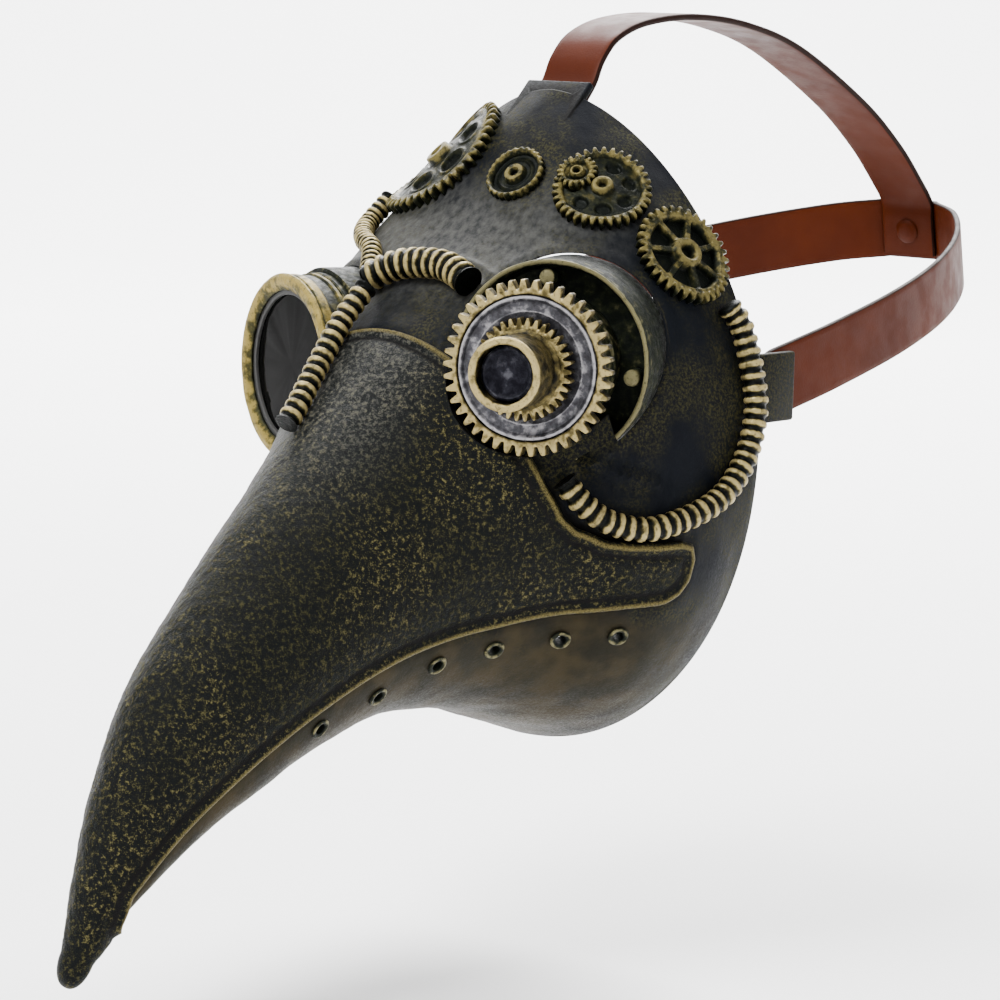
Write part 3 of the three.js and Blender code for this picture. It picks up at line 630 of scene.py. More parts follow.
def combine_solids(piece, others, operation):
    """Applies the other solids to a closed piece, then throws them away."""
    for other in others:
        modifier = piece.modifiers.new("combine", "BOOLEAN")
        modifier.operation = operation
        modifier.solver = "MANIFOLD"
        modifier.object = other
    apply_modifiers(piece)
    for other in others:
        bpy.data.objects.remove(other)


def cut_out(piece, cutters):
    combine_solids(piece, cutters, "DIFFERENCE")


def join_on(piece, extras):
    combine_solids(piece, extras, "UNION")


def rounded_box(name, low, high, turn=0.0, centre=(0, 0, 0)):
    """A box with rolled edges, turned about X around its centre."""
    bpy.ops.mesh.primitive_cube_add(size=1)
    piece = bpy.context.object
    piece.name = name
    size = Vector(high) - Vector(low)
    middle = (Vector(high) + Vector(low)) / 2
    shape = Matrix.Translation((Vector(centre)) * MM) @ Matrix.Rotation(turn, 4, "X")
    shape = shape @ Matrix.Translation(middle * MM) @ Matrix.Diagonal((*(size * MM), 1))
    piece.data.transform(shape)
    edge = piece.modifiers.new("edge", "BEVEL")
    edge.width = 0.9 * MM
    edge.segments = 3
    apply_modifiers(piece)
    piece.data.materials.clear()
    layer = piece.data.attributes.new("wear_and_shade", "FLOAT", "POINT")
    layer.data.foreach_set("value", np.full(len(piece.data.vertices), 0.3, np.float32))
    return piece


CREASES = [
    [(3.36, -12.5), (3.36, -7), (3.55, 8), (3.88, 23.5)],
    [(3.62, -12.5), (3.62, -7), (3.80, 8), (4.12, 23.5)],
]
SLOT_RIDGE = [(4.34, 73), (4.0, 79), (3.3, 86)]


def along_line(line):
    """Close-set surface points along a line given by sections and degrees."""
    steps = np.arange(len(line))
    t = np.linspace(0, len(line) - 1, 300)
    u = np.interp(t, steps, [p[0] for p in line])
    angle = np.radians(np.interp(t, steps, [p[1] for p in line]))
    return bare_surface(u, angle)


def distance_to(points, line_points):
    tree = KDTree(len(line_points))
    for i, place_on_line in enumerate(line_points):
        tree.insert(place_on_line, i)
    tree.balance()
    return np.array([tree.find(point)[2] for point in points])


def shell_relief(points):
    """How far the moulded relief lifts the shell, and how worn it is there, with painted shadow along the
    casing's edge.
    """
    lift = 0.28 * lumps(points, 26) + 0.12 * lumps(points, 9, 3.1)
    worn = np.full(len(points), 0.4)
    for line in CREASES:
        away = distance_to(points, along_line(line))
        lift += 0.7 * np.exp(-(away / 1.1) ** 2)
        worn = np.maximum(worn, 0.85 * np.exp(-(away / 0.9) ** 2))
    away = distance_to(points, along_line(SLOT_RIDGE))
    lift += 1.3 * np.exp(-(away / 1.6) ** 2) - 0.9 * np.exp(-((away - 3.6) / 1.2) ** 2)
    worn = np.maximum(worn, 0.8 * np.exp(-(away / 1.3) ** 2))
    away = distance_to(points, casing_outline(0.0))
    lift -= 0.7 * np.exp(-((away - 1.0) / 1.6) ** 2)
    # The dip in this value beside the casing's edge is painted shadow, which the shell paint turns
    # near-black.
    worn -= 0.45 * np.exp(-(away / 2.2) ** 2)
    for stand in (GEAR_EYE, GOGGLE):
        radius, _ = radial_distance(points, stand)
        lift += 0.8 * np.exp(-((radius - 33.2) / 1.5) ** 2)
        worn = np.maximum(worn, 0.7 * np.exp(-((radius - 32.6) / 0.8) ** 2))
    return lift, worn


def rolled(distance, radius):
    """How far a wall of double that thickness draws in near its rounded edge."""
    t = np.clip(1 - distance / radius, 0, 1)
    return radius * (1 - np.sqrt(1 - t * t))


def face_shell():
    rows = np.concatenate((np.linspace(0, 0.09, 6)[:-1], np.linspace(0.09, SHELL_FRONT, 125),
                           np.linspace(SHELL_FRONT + 0.04, SHELL_END, 120)))
    columns = np.radians(np.linspace(-180, 180, 241))

    def keep(u, angle):
        return u < SHELL_FRONT or abs(angle) > TROUGH_EDGE

    def outer(u, angle):
        bare = bare_surface(u, angle)
        lift, _ = shell_relief(bare)
        rim = rolled(u * SECTION_LENGTH, SHELL_WALL / 2)
        return surface(u, angle, lift * smooth_step(0, 0.4, u) - rim)

    def inner(u, angle):
        return surface(u, angle, -SHELL_WALL + rolled(u * SECTION_LENGTH, SHELL_WALL / 2))

    points, faces, inside = thick_patch(rows, columns, keep, outer, inner)
    _, worn = shell_relief(points)
    piece = make_piece("face_shell_skin", points, faces, np.where(inside, -1.0, worn))
    orient(piece)
    tabs = [rounded_box("tab_left", (76, 6.5, 2), (79, 27, 24)),
            rounded_box("tab_right", (-79, 6.5, 2), (-76, 27, 24)),
            rounded_box("tab_top", (-13, -10, -1.4), (13, 10, 1.4), math.pi / 4, (0, -3.5, 98.5))]
    join_on(piece, tabs)
    bores = [closed_disc(name + "_bore", stand, [(2.6, -8), (2.6, 6)], 24) for name, stand in EYELETS]
    cut_out(piece, [*eye_cutters(), *bores])
    paint_inside(piece, SHELL_PAINT)
    return finish_piece(piece, SHELL_PAINT, "mask", ["face_shell"])


def paint_inside(piece, paint):
    """Paints a piece, with the lining on the faces whose points were made as the inner side."""
    piece.data.materials.clear()
    piece.data.materials.append(paint)
    piece.data.materials.append(LINING)
    wear_and_shade = np.zeros(len(piece.data.vertices), np.float32)
    piece.data.attributes["wear_and_shade"].data.foreach_get("value", wear_and_shade)
    for face in piece.data.polygons:
        inner_side = all(wear_and_shade[v] < -0.5 for v in face.vertices)
        face.material_index = 1 if inner_side else 0


# ---- Beak casing ----
def look_up(table, at):
    keys, values = zip(*table)
    return np.interp(at, keys, values)


def casing_edge(u):
    return np.radians(look_up(CASING_EDGE, u))


def casing_place(u, share, offset, tip):
    """A point of the casing, which closes over the tip in a round nose past the last section."""
    body = surface(np.minimum(u, LAST), share * casing_edge(np.minimum(u, LAST)), offset)
    past = np.clip(u - LAST, 0, 1)[:, None]
    ridge_y, ridge_z, under_y, under_z = SECTIONS[LAST][:4]
    centre = np.array((0, (ridge_y + under_y) / 2, (ridge_z + under_z) / 2))
    nose = centre + (tip - centre) * past + (body - centre) * np.sqrt(1 - past**2)
    return np.where(past > 0, nose, body)


def casing_section(row, share):
    """Rows below zero lie between the casing's rear edge, at -1, and its first whole section, at 0."""
    rear = look_up(CASING_REAR, np.abs(share))
    return np.where(row >= 0, row + CASING_WHOLE, CASING_WHOLE + row * (CASING_WHOLE - rear))


def casing_outline(offset):
    """Close-set points along the casing's rear and lower edges."""
    share = np.linspace(-1, 1, 1601)
    rear = casing_place(look_up(CASING_REAR, np.abs(share)), share, offset, BEAK_TIP)
    u = np.linspace(CASING_REAR[-1][1], LOWER_EDGE_END, 900)
    lower = [casing_place(u, np.full(len(u), side), offset, BEAK_TIP) for side in (-1.0, 1.0)]
    return np.concatenate((rear, *lower))


def beak_casing():
    nose_rows = 8 + np.sin(np.linspace(0.08, 1, 12) * math.pi / 2)
    rows = np.concatenate((np.linspace(-1, 0, 64), np.linspace(0.04, 7.3, 190),
                           np.linspace(7.36, 8, 24), nose_rows))
    half = np.concatenate((np.linspace(0, 0.6, 66), np.linspace(0.606, 0.8, 28),
                           np.linspace(0.803, 0.92, 42), np.linspace(0.924, 1, 20)))
    columns = np.concatenate((-half[:0:-1], half))
    outline = casing_outline(0.0)

    def keep(row, share):
        return row >= 0 or look_up(CASING_REAR, abs(share)) < 4.99

    def outer(row, share):
        u = casing_section(row, share)
        bare = casing_place(u, share, 0.0, BEAK_TIP)
        away = distance_to(bare, outline)
        bead = 0.8 * np.exp(-((away - 1.5) / 1.1) ** 2) - 0.5 * np.exp(-((away - 4.4) / 1.1) ** 2)
        pebbles = 0.16 * lumps(bare, 2.6) + 0.08 * lumps(bare, 1.5, 5.0) + 0.3 * lumps(bare, 22, 1.0)
        calm = smooth_step(1.5, 5, away) * smooth_step(13.2, 12.6, u)
        edge = rolled(away, CASING_WALL / 2)
        return casing_place(u, share, CASING_GAP + CASING_WALL + bead + pebbles * calm - edge, BEAK_TIP)

    def inner(row, share):
        u = casing_section(row, share)
        edge = rolled(distance_to(casing_place(u, share, 0.0, BEAK_TIP), outline), CASING_WALL / 2)
        return casing_place(u, share, CASING_GAP + edge, BEAK_TIP + np.array((0, 1.6, 2.6)))

    points, faces, inside = thick_patch(rows, columns, keep, outer, inner)
    piece = make_piece("beak_casing_skin", points, faces, casing_wear_and_shade(points, inside))
    orient(piece)
    cut_out(piece, eye_cutters())
    paint_inside(piece, CASING_PAINT)
    return finish_piece(piece, CASING_PAINT, "mask", ["beak_casing"])


def casing_wear_and_shade(points, inside):
    """How worn each point is: bright on the flange's bead, with painted shade darkening the groove beside
    it.
    """
    near = distance_to(points, casing_outline(CASING_GAP + CASING_WALL))
    # The dip 4.4 mm in from the edge is painted shade in the groove.
    worn = 0.4 + 0.55 * np.exp(-((near - 1.5) / 1.2) ** 2) - 0.35 * np.exp(-((near - 4.4) / 1.3) ** 2)
    return np.where(inside, -1.0, worn)


# ---- Turned and toothed pieces ----
def pointed_tooth(turn):
    """Tooth outline from 0 at the root to 1 at the tip, with a rounded point."""
    return np.clip(0.5 + 0.72 * np.cos(turn), 0, 1) ** 0.9


def ring_profile(inner, outer, low, high, edge=0.5, share=0.0):
    """A ring's section with rolled outer and inner front edges."""
    part = 0.3 * edge
    outer_side = [(outer, low), (outer, high - edge), (outer - part, high - part), (outer - edge, high)]
    inner_side = [(inner + edge, high), (inner + part, high - part), (inner, high - edge), (inner, low)]
    return [(inner, low), *((r, h, share) for r, h in outer_side), *inner_side]


def turned_piece(name, stand, profile, material, slot, segments=128, worn=None, closed=False, cutters=(),
                 shape=None, **teeth):
    """A turned piece on a stand; worn gives each profile row's wear."""
    points, faces = spun(profile, segments, closed, **teeth)
    wear = np.repeat(worn if worn is not None else np.full(len(profile), 0.5), segments)
    local = points.copy()
    local[:, 2] += 0.1 * lumps(points, 5.5, len(name))
    local[:, :2] *= (1 + 0.004 * lumps(points, 9, 2.0 + len(name)))[:, None]
    if shape:
        local = shape(local)
    piece = make_piece(name + "_skin", place(local, stand), faces, wear)
    weld(piece)
    orient(piece)
    if cutters:
        cut_out(piece, cutters)
        piece.data.materials.clear()
    return finish_piece(piece, material, "mask", [name], 30)


def weld(piece):
    """Joins the points that lie on each other, such as where a turned section closes on itself."""
    work = bmesh.new()
    work.from_mesh(piece.data)
    bmesh.ops.remove_doubles(work, verts=work.verts, dist=0.002 * MM)
    work.to_mesh(piece.data)
    work.free()


def close_to_casing(local):
    """Raises the cup's wall where the surface stands in front of its rim, so that no gap shows beside it."""
    axes, origin = GEAR_EYE
    angle = np.arctan2(local[:, 1], local[:, 0])
    level = np.zeros(len(local))
    for _ in range(4):
        probe = np.stack((30.3 * np.cos(angle), 30.3 * np.sin(angle), level), axis=1)
        feet, _ = seat(place(probe, GEAR_EYE))
        level = ((feet - origin) @ axes)[:, 2]
    wall = (np.hypot(local[:, 0], local[:, 1]) > 28.5) & (local[:, 2] > -6)
    local[wall, 2] += np.clip(level - 2.4, 0, 14)[wall]
    return local


def gear_eye():
    cup = [(0.01, -10), (27.5, -10), (27.5, -22), (31.4, -22), (31.4, 0.9), (31.2, 1.3),
           (30.6, 1.4), (30.1, 1.2), (29.7, 0.4), (29.2, -5.6), (28.4, -6.7), (27, -7), (0.01, -7)]
    turned_piece("eye_socket_left", GEAR_EYE, cup, DARK_BRASS, "dark_brass",
                 worn=[0.1, 0.1, 0.1, 0.1, 0.5, 1.2, 1.3, 1.1, 0.45, 0.3, 0.3, 0.35, 0.3],
                 shape=close_to_casing)
    for i, degrees in enumerate((95, -8, -68)):
        lug_stand = offset_stand(GEAR_EYE, 25.7, math.radians(degrees))
        dome = [(2.6, -6.7), (2.6, -0.9), (2.3, -0.2), (1.7, 0.1), (0.01, 0.2)]
        turned_piece(f"socket_lug_{i + 1}", lug_stand, dome, DARK_BRASS, "dark_brass", 24,
                     [0.2, 0.5, 0.9, 1.0, 1.0], closed=True)
    barrel = [(16, -6.7), (20, -6.7), (20, -1), (20.3, -0.6), (20.3, 0.6), (20, 1), (20, 17.5),
              (23, 17.5), (23, 19.4), (16, 19.4), (16, -6.7)]
    turned_piece("eye_barrel_left", GEAR_EYE, barrel, DARK_BRASS, "dark_brass")
    main = ring_profile(22.1, 23.7, 19.7, 23.6, 0.55, 1.0)
    turned_piece("main_gear", GEAR_EYE, main, BRASS, "brass", 42 * 14,
                 [0.1, 0.35, 0.55, 0.85, 0.95, 0.8, 0.5, 0.3, 0.1],
                 teeth=42, root=23.7, tip=26.6, tooth=pointed_tooth)
    dish = [(12, 19.7), (21.8, 19.7), (21.8, 23.0), (21.6, 23.4), (21.0, 23.5), (20.5, 23.2),
            (20.0, 22.7), (17.4, 22.2), (17.0, 22.3), (16.6, 22.1), (12, 21.4), (12, 19.7)]
    turned_piece("gear_dish", GEAR_EYE, dish, SILVER, "silver", 160,
                 [0.1, 0.3, 0.6, 0.95, 0.9, 0.5, 0.45, 0.6, 0.9, 0.5, 0.2, 0.1])
    small = ring_profile(3, 13.2, 23.7, 27.8, 0.45, 1.0)
    turned_piece("small_gear", GEAR_EYE, small, BRASS, "brass", 34 * 14,
                 [0.1, 0.25, 0.5, 0.9, 0.75, 0.3, 0.2, 0.2, 0.1],
                 teeth=34, root=13.2, tip=15.5, tooth=pointed_tooth)
    collar = [(8.8, 28.1), (12.2, 28.1), (12.2, 28.7), (11.0, 29.4), (11.0, 43.2), (11.2, 43.6),
              (11.1, 44.2), (10.6, 44.5), (9.3, 44.4), (8.9, 44.0), (8.8, 43.4), (8.8, 28.1)]
    turned_piece("hub_collar", GEAR_EYE, collar, BRASS, "brass", 96,
                 [0.1, 0.6, 0.5, 0.25, 0.35, 0.7, 1.0, 1.0, 0.9, 0.6, 0.3, 0.1])
    plug = [(8.4, 28.1), (8.4, 40.4), (8.1, 41.0), (7.4, 41.3), (6.8, 41.0), (6.2, 40.7),
            (0.01, 40.9)]
    turned_piece("hub_plug", GEAR_EYE, plug, PLUG, "shell", 72,
                 [0.1, 0.2, 0.5, 0.6, 0.3, 0.35, 0.6], closed=True)


def offset_stand(stand, radius, turn):
    """A stand moved sideways on its own face."""
    axes, origin = stand
    return axes, origin + axes @ np.array((radius * math.cos(turn), radius * math.sin(turn), 0.0))


def goggle():
    socket = [(27, -22), (31.4, -22), (31.4, 0.8), (31.2, 1.2), (29.8, 1.5), (29.8, 3.0), (29.4, 3.4),
              (27, 3.4), (27, -22)]
    turned_piece("eye_socket_right", GOGGLE, socket, DARK_BRASS, "dark_brass",
                 worn=[0.1, 0.1, 0.4, 0.6, 0.4, 0.6, 0.8, 0.3, 0.1])
    barrel = [(26, 3.7), (29.2, 3.7), (29.6, 4.1), (29.6, 5.2), (28.9, 5.8), (28.7, 9.2), (29.3, 9.9),
              (29.6, 10.6), (29.6, 12.9), (29.2, 13.4), (26, 13.4), (26, 3.7)]
    notch_stand = offset_stand(GOGGLE, 29.3, math.radians(21))
    notch = closed_disc("barrel_notch", notch_stand, [(3.4, 4.0), (3.4, 7.5)], 4)
    turned_piece("goggle_barrel", GOGGLE, barrel, OLIVE_BRASS, "brass", 160,
                 [0.1, 0.4, 0.75, 0.6, 0.2, 0.25, 0.5, 0.8, 0.75, 0.5, 0.1, 0.1], cutters=[notch])
    bezel = [(24.4, 13.7), (29.4, 13.7), (29.8, 14.1), (29.8, 14.7), (29.4, 15.3), (28.6, 15.8),
             (27.0, 15.8), (26.3, 15.6), (24.6, 14.5), (24.4, 14.2), (24.4, 13.7)]
    turned_piece("goggle_bezel", GOGGLE, bezel, OLIVE_BRASS, "brass", 160,
                 [0.1, 0.5, 0.8, 0.9, 1.0, 0.95, 0.85, 0.8, 0.5, 0.3, 0.1])
    gasket = ring_profile(23, 25.7, 12.4, 13.4, 0.3)
    turned_piece("lens_gasket", GOGGLE, gasket, RUBBER, "gasket", 128)
    lens = [(25.7, 10.5), (25.7, 11.9), (25.4, 12.1), (18, 12.15), (9, 12.2), (0.01, 12.2)]
    turned_piece("goggle_lens", GOGGLE, lens, LENS, "lens", 128, closed=True)
    retainer = ring_profile(23, 25.7, 8.7, 10.2, 0.3)
    turned_piece("lens_retainer", GOGGLE, retainer, DARK_BRASS, "dark_brass", 128)


# ---- Gears cast on the brow ----
def on_brow(points, centre, lift):
    """Wraps flat points onto the shell around a place: x, y across the surface and z above it."""
    base, normal = seat(centre)
    axes, _ = stand_matrix(base[0], normal[0])
    flat = base[0] + points[:, :1] * axes[:, 0] + points[:, 1:2] * axes[:, 1]
    feet, normals = march(flat, base[0])
    return feet + normals * (points[:, 2:3] + lift)


def march(flat, origin):
    """Surface points and normals under the places of a tangent plane, stepped out from its middle."""
    steps = 5
    grid_u, grid_angle, scan = scan_grid()
    middle = (origin + (flat - origin) * (1 / steps)).mean(axis=0)
    start = int(np.argmin(((scan - middle) ** 2).sum(axis=1)))
    u = np.full(len(flat), grid_u[start])
    angle = np.full(len(flat), grid_angle[start])
    for k in range(1, steps + 1):
        u, angle = settle(origin + (flat - origin) * (k / steps), u, angle, 5, 0.15)
    return bare_surface(u, angle), surface_normal(u, angle)


def relief_wheel(name, centre, teeth, root, tip, thickness, face, extras=(), turn=0.0):
    """A cast gear: a toothed disc whose face(r, angle) gives the height as a share of the thickness."""
    per_tooth = 12
    segments = teeth * per_tooth
    angle = np.arange(segments) / segments * TAU
    outline = pointed_tooth(angle * teeth) * (tip - root)
    inner_radii = np.arange(0.15, root - 0.7, 0.42)
    rows = [(r, 0.0, None) for r in inner_radii]
    rows += [(root - 0.6, 0.75, 1.0), (root - 0.25, 0.95, 0.93), (root, 1.0, 0.75), (root, 1.0, -0.5)]
    points = []
    wear = []
    for radius, share, level in rows:
        r = radius + share * outline
        height = face(r, angle) if level is None else np.full(segments, level)
        around = angle + turn
        points.append(np.stack((r * np.cos(around), r * np.sin(around), height * thickness), axis=1))
        wear.append(np.clip(height, 0, 1.2) * 0.85)
    faces = ring_faces(len(rows), segments, closed=True)
    skin = on_brow(np.concatenate(points), centre, 0.3)
    piece = make_piece(name + "_skin", skin, faces, np.concatenate(wear))
    orient(piece)
    return finish_piece(piece, GEAR_BRASS, "mask", [name, *extras], 50)


def band_step(value, low, high, soft=0.35):
    """One inside a band of values and zero outside it, with soft edges."""
    return smooth_step(low - soft, low + soft, value) * smooth_step(high + soft, high - soft, value)


def windows(r, angle, count, radius, size, stretch=1.0):
    """One inside round windows spaced evenly on a circle."""
    step = TAU / count
    local = (angle + step / 2) % step - step / 2
    across = r * np.sin(local) / stretch
    along = r * np.cos(local) - radius
    return smooth_step(size + 0.4, size - 0.4, np.hypot(across, along))


def hub_face(r, outer, bore):
    return 0.8 * band_step(r, bore, outer, 0.4)


def brow_gears():
    def right_face(r, angle):
        body = 0.5 + 0.35 * band_step(r, 19.2, 30) - 0.42 * windows(r, angle, 6, 12.6, 3.5, 1.25)
        body += 0.12 * windows(r, angle, 6, 12.6, 4.8, 1.2) * (1 - windows(r, angle, 6, 12.6, 3.8, 1.25))
        return np.where(r < 5.2, 0.35 + hub_face(r, 4.6, 2.2), body)

    def disc_face(r, angle):
        return 0.15 + 0.75 * band_step(r, 8.0, 20) + 0.25 * band_step(r, 5.4, 6.2) + hub_face(r, 3.4, 1.3)

    def left_face(r, angle):
        body = 0.45 + 0.45 * band_step(r, 12.2, 30) - 0.4 * windows(r, angle, 7, 8.6, 2.0, 1.2)
        return np.where(r < 3.9, 0.4 + hub_face(r, 3.3, 1.3), body)

    def spoke_face(r, angle):
        step = TAU / 7
        local = (angle + step / 2) % step - step / 2
        spoke = smooth_step(1.25, 0.75, np.abs(r * np.sin(local)))
        open_part = band_step(r, 5.0, 12.2, 0.3)
        body = 0.9 - 0.85 * open_part * (1 - 0.8 * spoke)
        return body - 0.7 * smooth_step(2.6, 1.9, r) + 0.25 * band_step(r, 2.9, 4.6)

    def pinion_face(r, angle):
        body = 0.5 + 0.4 * band_step(r, 3.6, 9) + 0.5 * band_step(r, 0.9, 2.2, 0.3)
        return body - 0.4 * smooth_step(1.1, 0.7, r)

    relief_wheel("brow_gear_right", (-33, -15, 80), 44, 21.6, 24.2, 3.4, right_face, ["brow_gear_right_hub"])
    relief_wheel("brow_disc", (6.5, -26, 76.5), 26, 9.4, 9.9, 2.6, disc_face, ["brow_disc_hub"])
    relief_wheel("brow_gear_left", (36, -20, 73.5), 34, 13.6, 15.8, 3.0, left_face,
                 ["brow_gear_left_hub"], 0.3)
    relief_wheel("spoke_gear", (60.5, -10.5, 54), 34, 14.6, 16.8, 3.4, spoke_face, ["spoke_gear_hub"], 0.2)
    relief_wheel("brow_pinion", (27.5, -21.5, 77.5), 18, 5.0, 6.3, 3.9, pinion_face)


# ---- Corrugated hoses ----
CHEEK_ROUTE = [(56.5, -62.5, -11.5), (60, -59.5, -17), (66, -52.5, -23.5), (73, -40.5, -26),
               (78.5, -20, -20), (79.5, -6, -9), (79, 1, 6), (76.5, 1.5, 20), (73, 0.5, 32),
               (70, -3, 38)]
NOSE_ROUTE = [(17.5, -59.5, 41.5), (11.5, -58, 44.2), (5, -57, 46), (-5, -57, 46), (-13, -58, 44.5),
              (-21, -60.5, 40.5)]
BROW_ROUTE = [(-50, -18, 64), (-51.5, -27, 58), (-48, -34, 54.5), (-41, -41, 52), (-33, -48, 50.5),
              (-24, -58, 43)]
BEAK_ROUTE = [(-15, -67.5, 37), (-14.7, -73, 32), (-14.5, -79, 26.5), (-12, -91, 14.5), (-9, -103, 4),
              (-8, -109, -1.5)]


def smooth_path(places, spacing):
    """Even points along a smooth curve through the given places."""
    places = np.asarray(places, float)
    padded = np.concatenate((2 * places[:1] - places[1:2], places, 2 * places[-1:] - places[-2:-1]))
    pieces = []
    for i in range(len(places) - 1):
        a, b, c, d = padded[i:i + 4]
        t = np.linspace(0, 1, 60, endpoint=False)[:, None]
        pieces.append(0.5 * (2 * b + (c - a) * t + (2 * a - 5 * b + 4 * c - d) * t**2
                             + (3 * b - a - 3 * c + d) * t**3))
    fine = np.concatenate(pieces + [places[-1:]])
    length = np.concatenate(([0], np.cumsum(np.linalg.norm(np.diff(fine, axis=0), axis=1))))
    even = np.linspace(0, length[-1], int(length[-1] / spacing) + 1)
    return np.stack([np.interp(even, length, fine[:, k]) for k in range(3)], axis=1), even


def hose(name, route, radius, lift, pitch):
    """A corrugated hose laid on the surface, each rib a rounded ring."""
    feet, normals = seat(route)
    centres, along = smooth_path(feet + normals * (radius + lift), 0.3)
    tangent = unit(np.gradient(centres, axis=0))
    _, up = seat(centres)
    up = unit(up - tangent * (up * tangent).sum(axis=1, keepdims=True))
    side = np.cross(tangent, up)
    around = np.linspace(0, TAU, 29)[:-1]
    phase = along / pitch * TAU + 0.5 * lumps(centres, 14)
    rib = np.clip(0.5 + 0.75 * np.cos(phase), 0, 1) ** 0.8
    girth = radius * (0.80 + 0.22 * rib)
    points = []
    for turn in around:
        points.append(centres + (side * math.cos(turn) + up * math.sin(turn)) * girth[:, None])
    points = np.stack(points, axis=1).reshape(-1, 3)
    points += 0.06 * lumps(points, 2.4)[:, None] * np.repeat(up, len(around), axis=0)
    count = len(around)
    faces = ring_faces(len(centres), count, closed=True)
    to_end = np.minimum(along, along[-1] - along)
    # Both ends are painted dark as painted shade, so that each end looks as if it goes into shadow; the
    # ribs' wear fades out before them.
    worn = rib * 0.95 * smooth_step(0.2, 1.6, to_end) - 0.3 * smooth_step(0.6, 0.0, to_end)
    piece = make_piece(name + "_ribbed", points, faces, np.repeat(worn, count))
    orient(piece)
    return finish_piece(piece, HOSE_BRASS, "mask", [name], 60)


def hoses():
    on_casing = CASING_GAP + CASING_WALL + 0.2
    hose("cheek_hose", CHEEK_ROUTE, 3.8, 0.0, 3.75)
    hose("nose_hose", NOSE_ROUTE, 4.8, 0.0, 3.7)
    hose("brow_hose", BROW_ROUTE, 3.3, 0.0, 2.8)
    hose("beak_hose", BEAK_ROUTE, 3.6, on_casing, 3.6)


def eyelets():
    profile = [(1.75, -3.3), (2.2, -3.3), (2.2, 0.2), (3.2, 0.2), (3.35, 0.4), (3.2, 0.7),
               (2.8, 0.9), (2.3, 0.85), (1.85, 0.6), (1.75, 0.3), (1.75, -3.3)]
    wear = [0.05, 0.1, 0.1, 0.2, 0.4, 0.65, 0.75, 0.55, 0.25, 0.1, 0.05]
    for name, stand in EYELETS:
        turned_piece(name, stand, profile, DARK_BRASS, "dark_brass", 36, wear)


# ---- Harness ----
def band_place(points):
    """Points from (x, distance behind the rivets, height across the band) in the band's sloping plane."""
    x, reach, high = np.asarray(points, float).T
    y = PIVOT[1] + reach * math.cos(BAND_RISE) - high * math.sin(BAND_RISE)
    z = PIVOT[2] + reach * math.sin(BAND_RISE) + high * math.cos(BAND_RISE)
    return np.stack((x, y, z), axis=1)


def strap_section():
    """The strap's rounded section: (across the width, through the thickness, wear) around its edge."""
    half = STRAP_WIDTH / 2
    thick = STRAP_THICKNESS / 2
    corner = 0.8
    across = np.linspace(-1, 1, 15) * (half - corner)
    upper = [(a, thick, 0.6) for a in across]
    lower = [(a, -thick, 0.6) for a in across[::-1]]
    bend = np.linspace(math.pi / 2, -math.pi / 2, 7)[1:-1]
    right = [(half - corner + corner * math.cos(t), thick * math.sin(t), 0.1) for t in bend]
    left = [(-(half - corner) - corner * math.cos(t), -thick * math.sin(t), 0.1) for t in bend]
    return np.array(upper + right + lower + left)


def strap_mesh(name, centres, outward, width_way, narrowing):
    """Sweeps the strap's section along its centre line."""
    section = strap_section()
    count = len(section)
    points = []
    wear = []
    for k, centre in enumerate(centres):
        across = np.outer(section[:, 0] * narrowing[k], width_way[k])
        points.append(centre + across + np.outer(section[:, 1], outward[k]))
        wear.append(section[:, 2])
    faces = ring_faces(len(centres), count, closed=True)
    piece = make_piece(name, np.concatenate(points), faces, np.concatenate(wear))
    orient(piece)
    return piece


def rounded_end(along, half):
    """How wide a strap is near a round end, as a share of its full width."""
    t = np.clip(1 - along / half, 0, 1)
    return np.maximum(np.sqrt(1 - t * t), 0.08)


def rear_band():
    plan = smooth_path([(x, y, 0) for x, y in BAND_CURVE[:-1]], 1.0)[0][:, :2]
    front_reach = np.linspace(BAND_FRONT, BAND_CURVE[0][1] - 1, 14)
    front = np.stack((np.full(14, BAND_HALF_WIDTH), front_reach), axis=1)
    rear = np.stack((np.linspace(BAND_CURVE[-2][0] - 1, 0, 12), np.full(12, BAND_REACH)), axis=1)
    plan[:, 1] = np.minimum(plan[:, 1], BAND_REACH)
    half = np.concatenate((front, plan, rear))
    whole = np.concatenate((half, half[:-1][::-1] * np.array((-1, 1))))
    slope = unit(np.gradient(whole, axis=0))
    outward = np.stack((slope[:, 1], -slope[:, 0]), axis=1)
    middle = whole - outward * (STRAP_THICKNESS / 2)
    length = np.concatenate(([0], np.cumsum(np.linalg.norm(np.diff(whole, axis=0), axis=1))))
    to_end = np.minimum(length, length[-1] - length)
    origin = band_place([(0, 0, 0)])
    centres = band_place(np.column_stack((middle, np.zeros(len(middle)))))
    out = band_place(np.column_stack((outward, np.zeros(len(outward))))) - origin
    up = np.repeat(band_place([(0, 0, 1)]) - origin, len(centres), axis=0)
    piece = strap_mesh("rear_band_leather", centres, out, up, rounded_end(to_end, STRAP_WIDTH / 2))
    return finish_piece(piece, LEATHER, "harness", ["rear_band"], 50)


def top_strap():
    seat_reach = BAND_REACH - 1.5 * STRAP_THICKNESS - 0.5
    end = band_place([(0, seat_reach, high) for high in (11, 5, 0, -9)])[:, 1:]
    line = [(0, y, z) for y, z in STRAP_START] + [(0, y, z) for y, z in end]
    centres, _ = smooth_path(line, 1.2)
    tangent = unit(np.gradient(centres, axis=0))
    across = np.tile((1.0, 0.0, 0.0), (len(centres), 1))
    outward = np.cross(across, tangent)
    piece = strap_mesh("top_strap_leather", centres, outward, across, np.ones(len(centres)))
    piece.data.materials.append(LEATHER)
    shade(piece, 50)
    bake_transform(piece)
    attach(piece, "mask")
    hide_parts("top_strap")


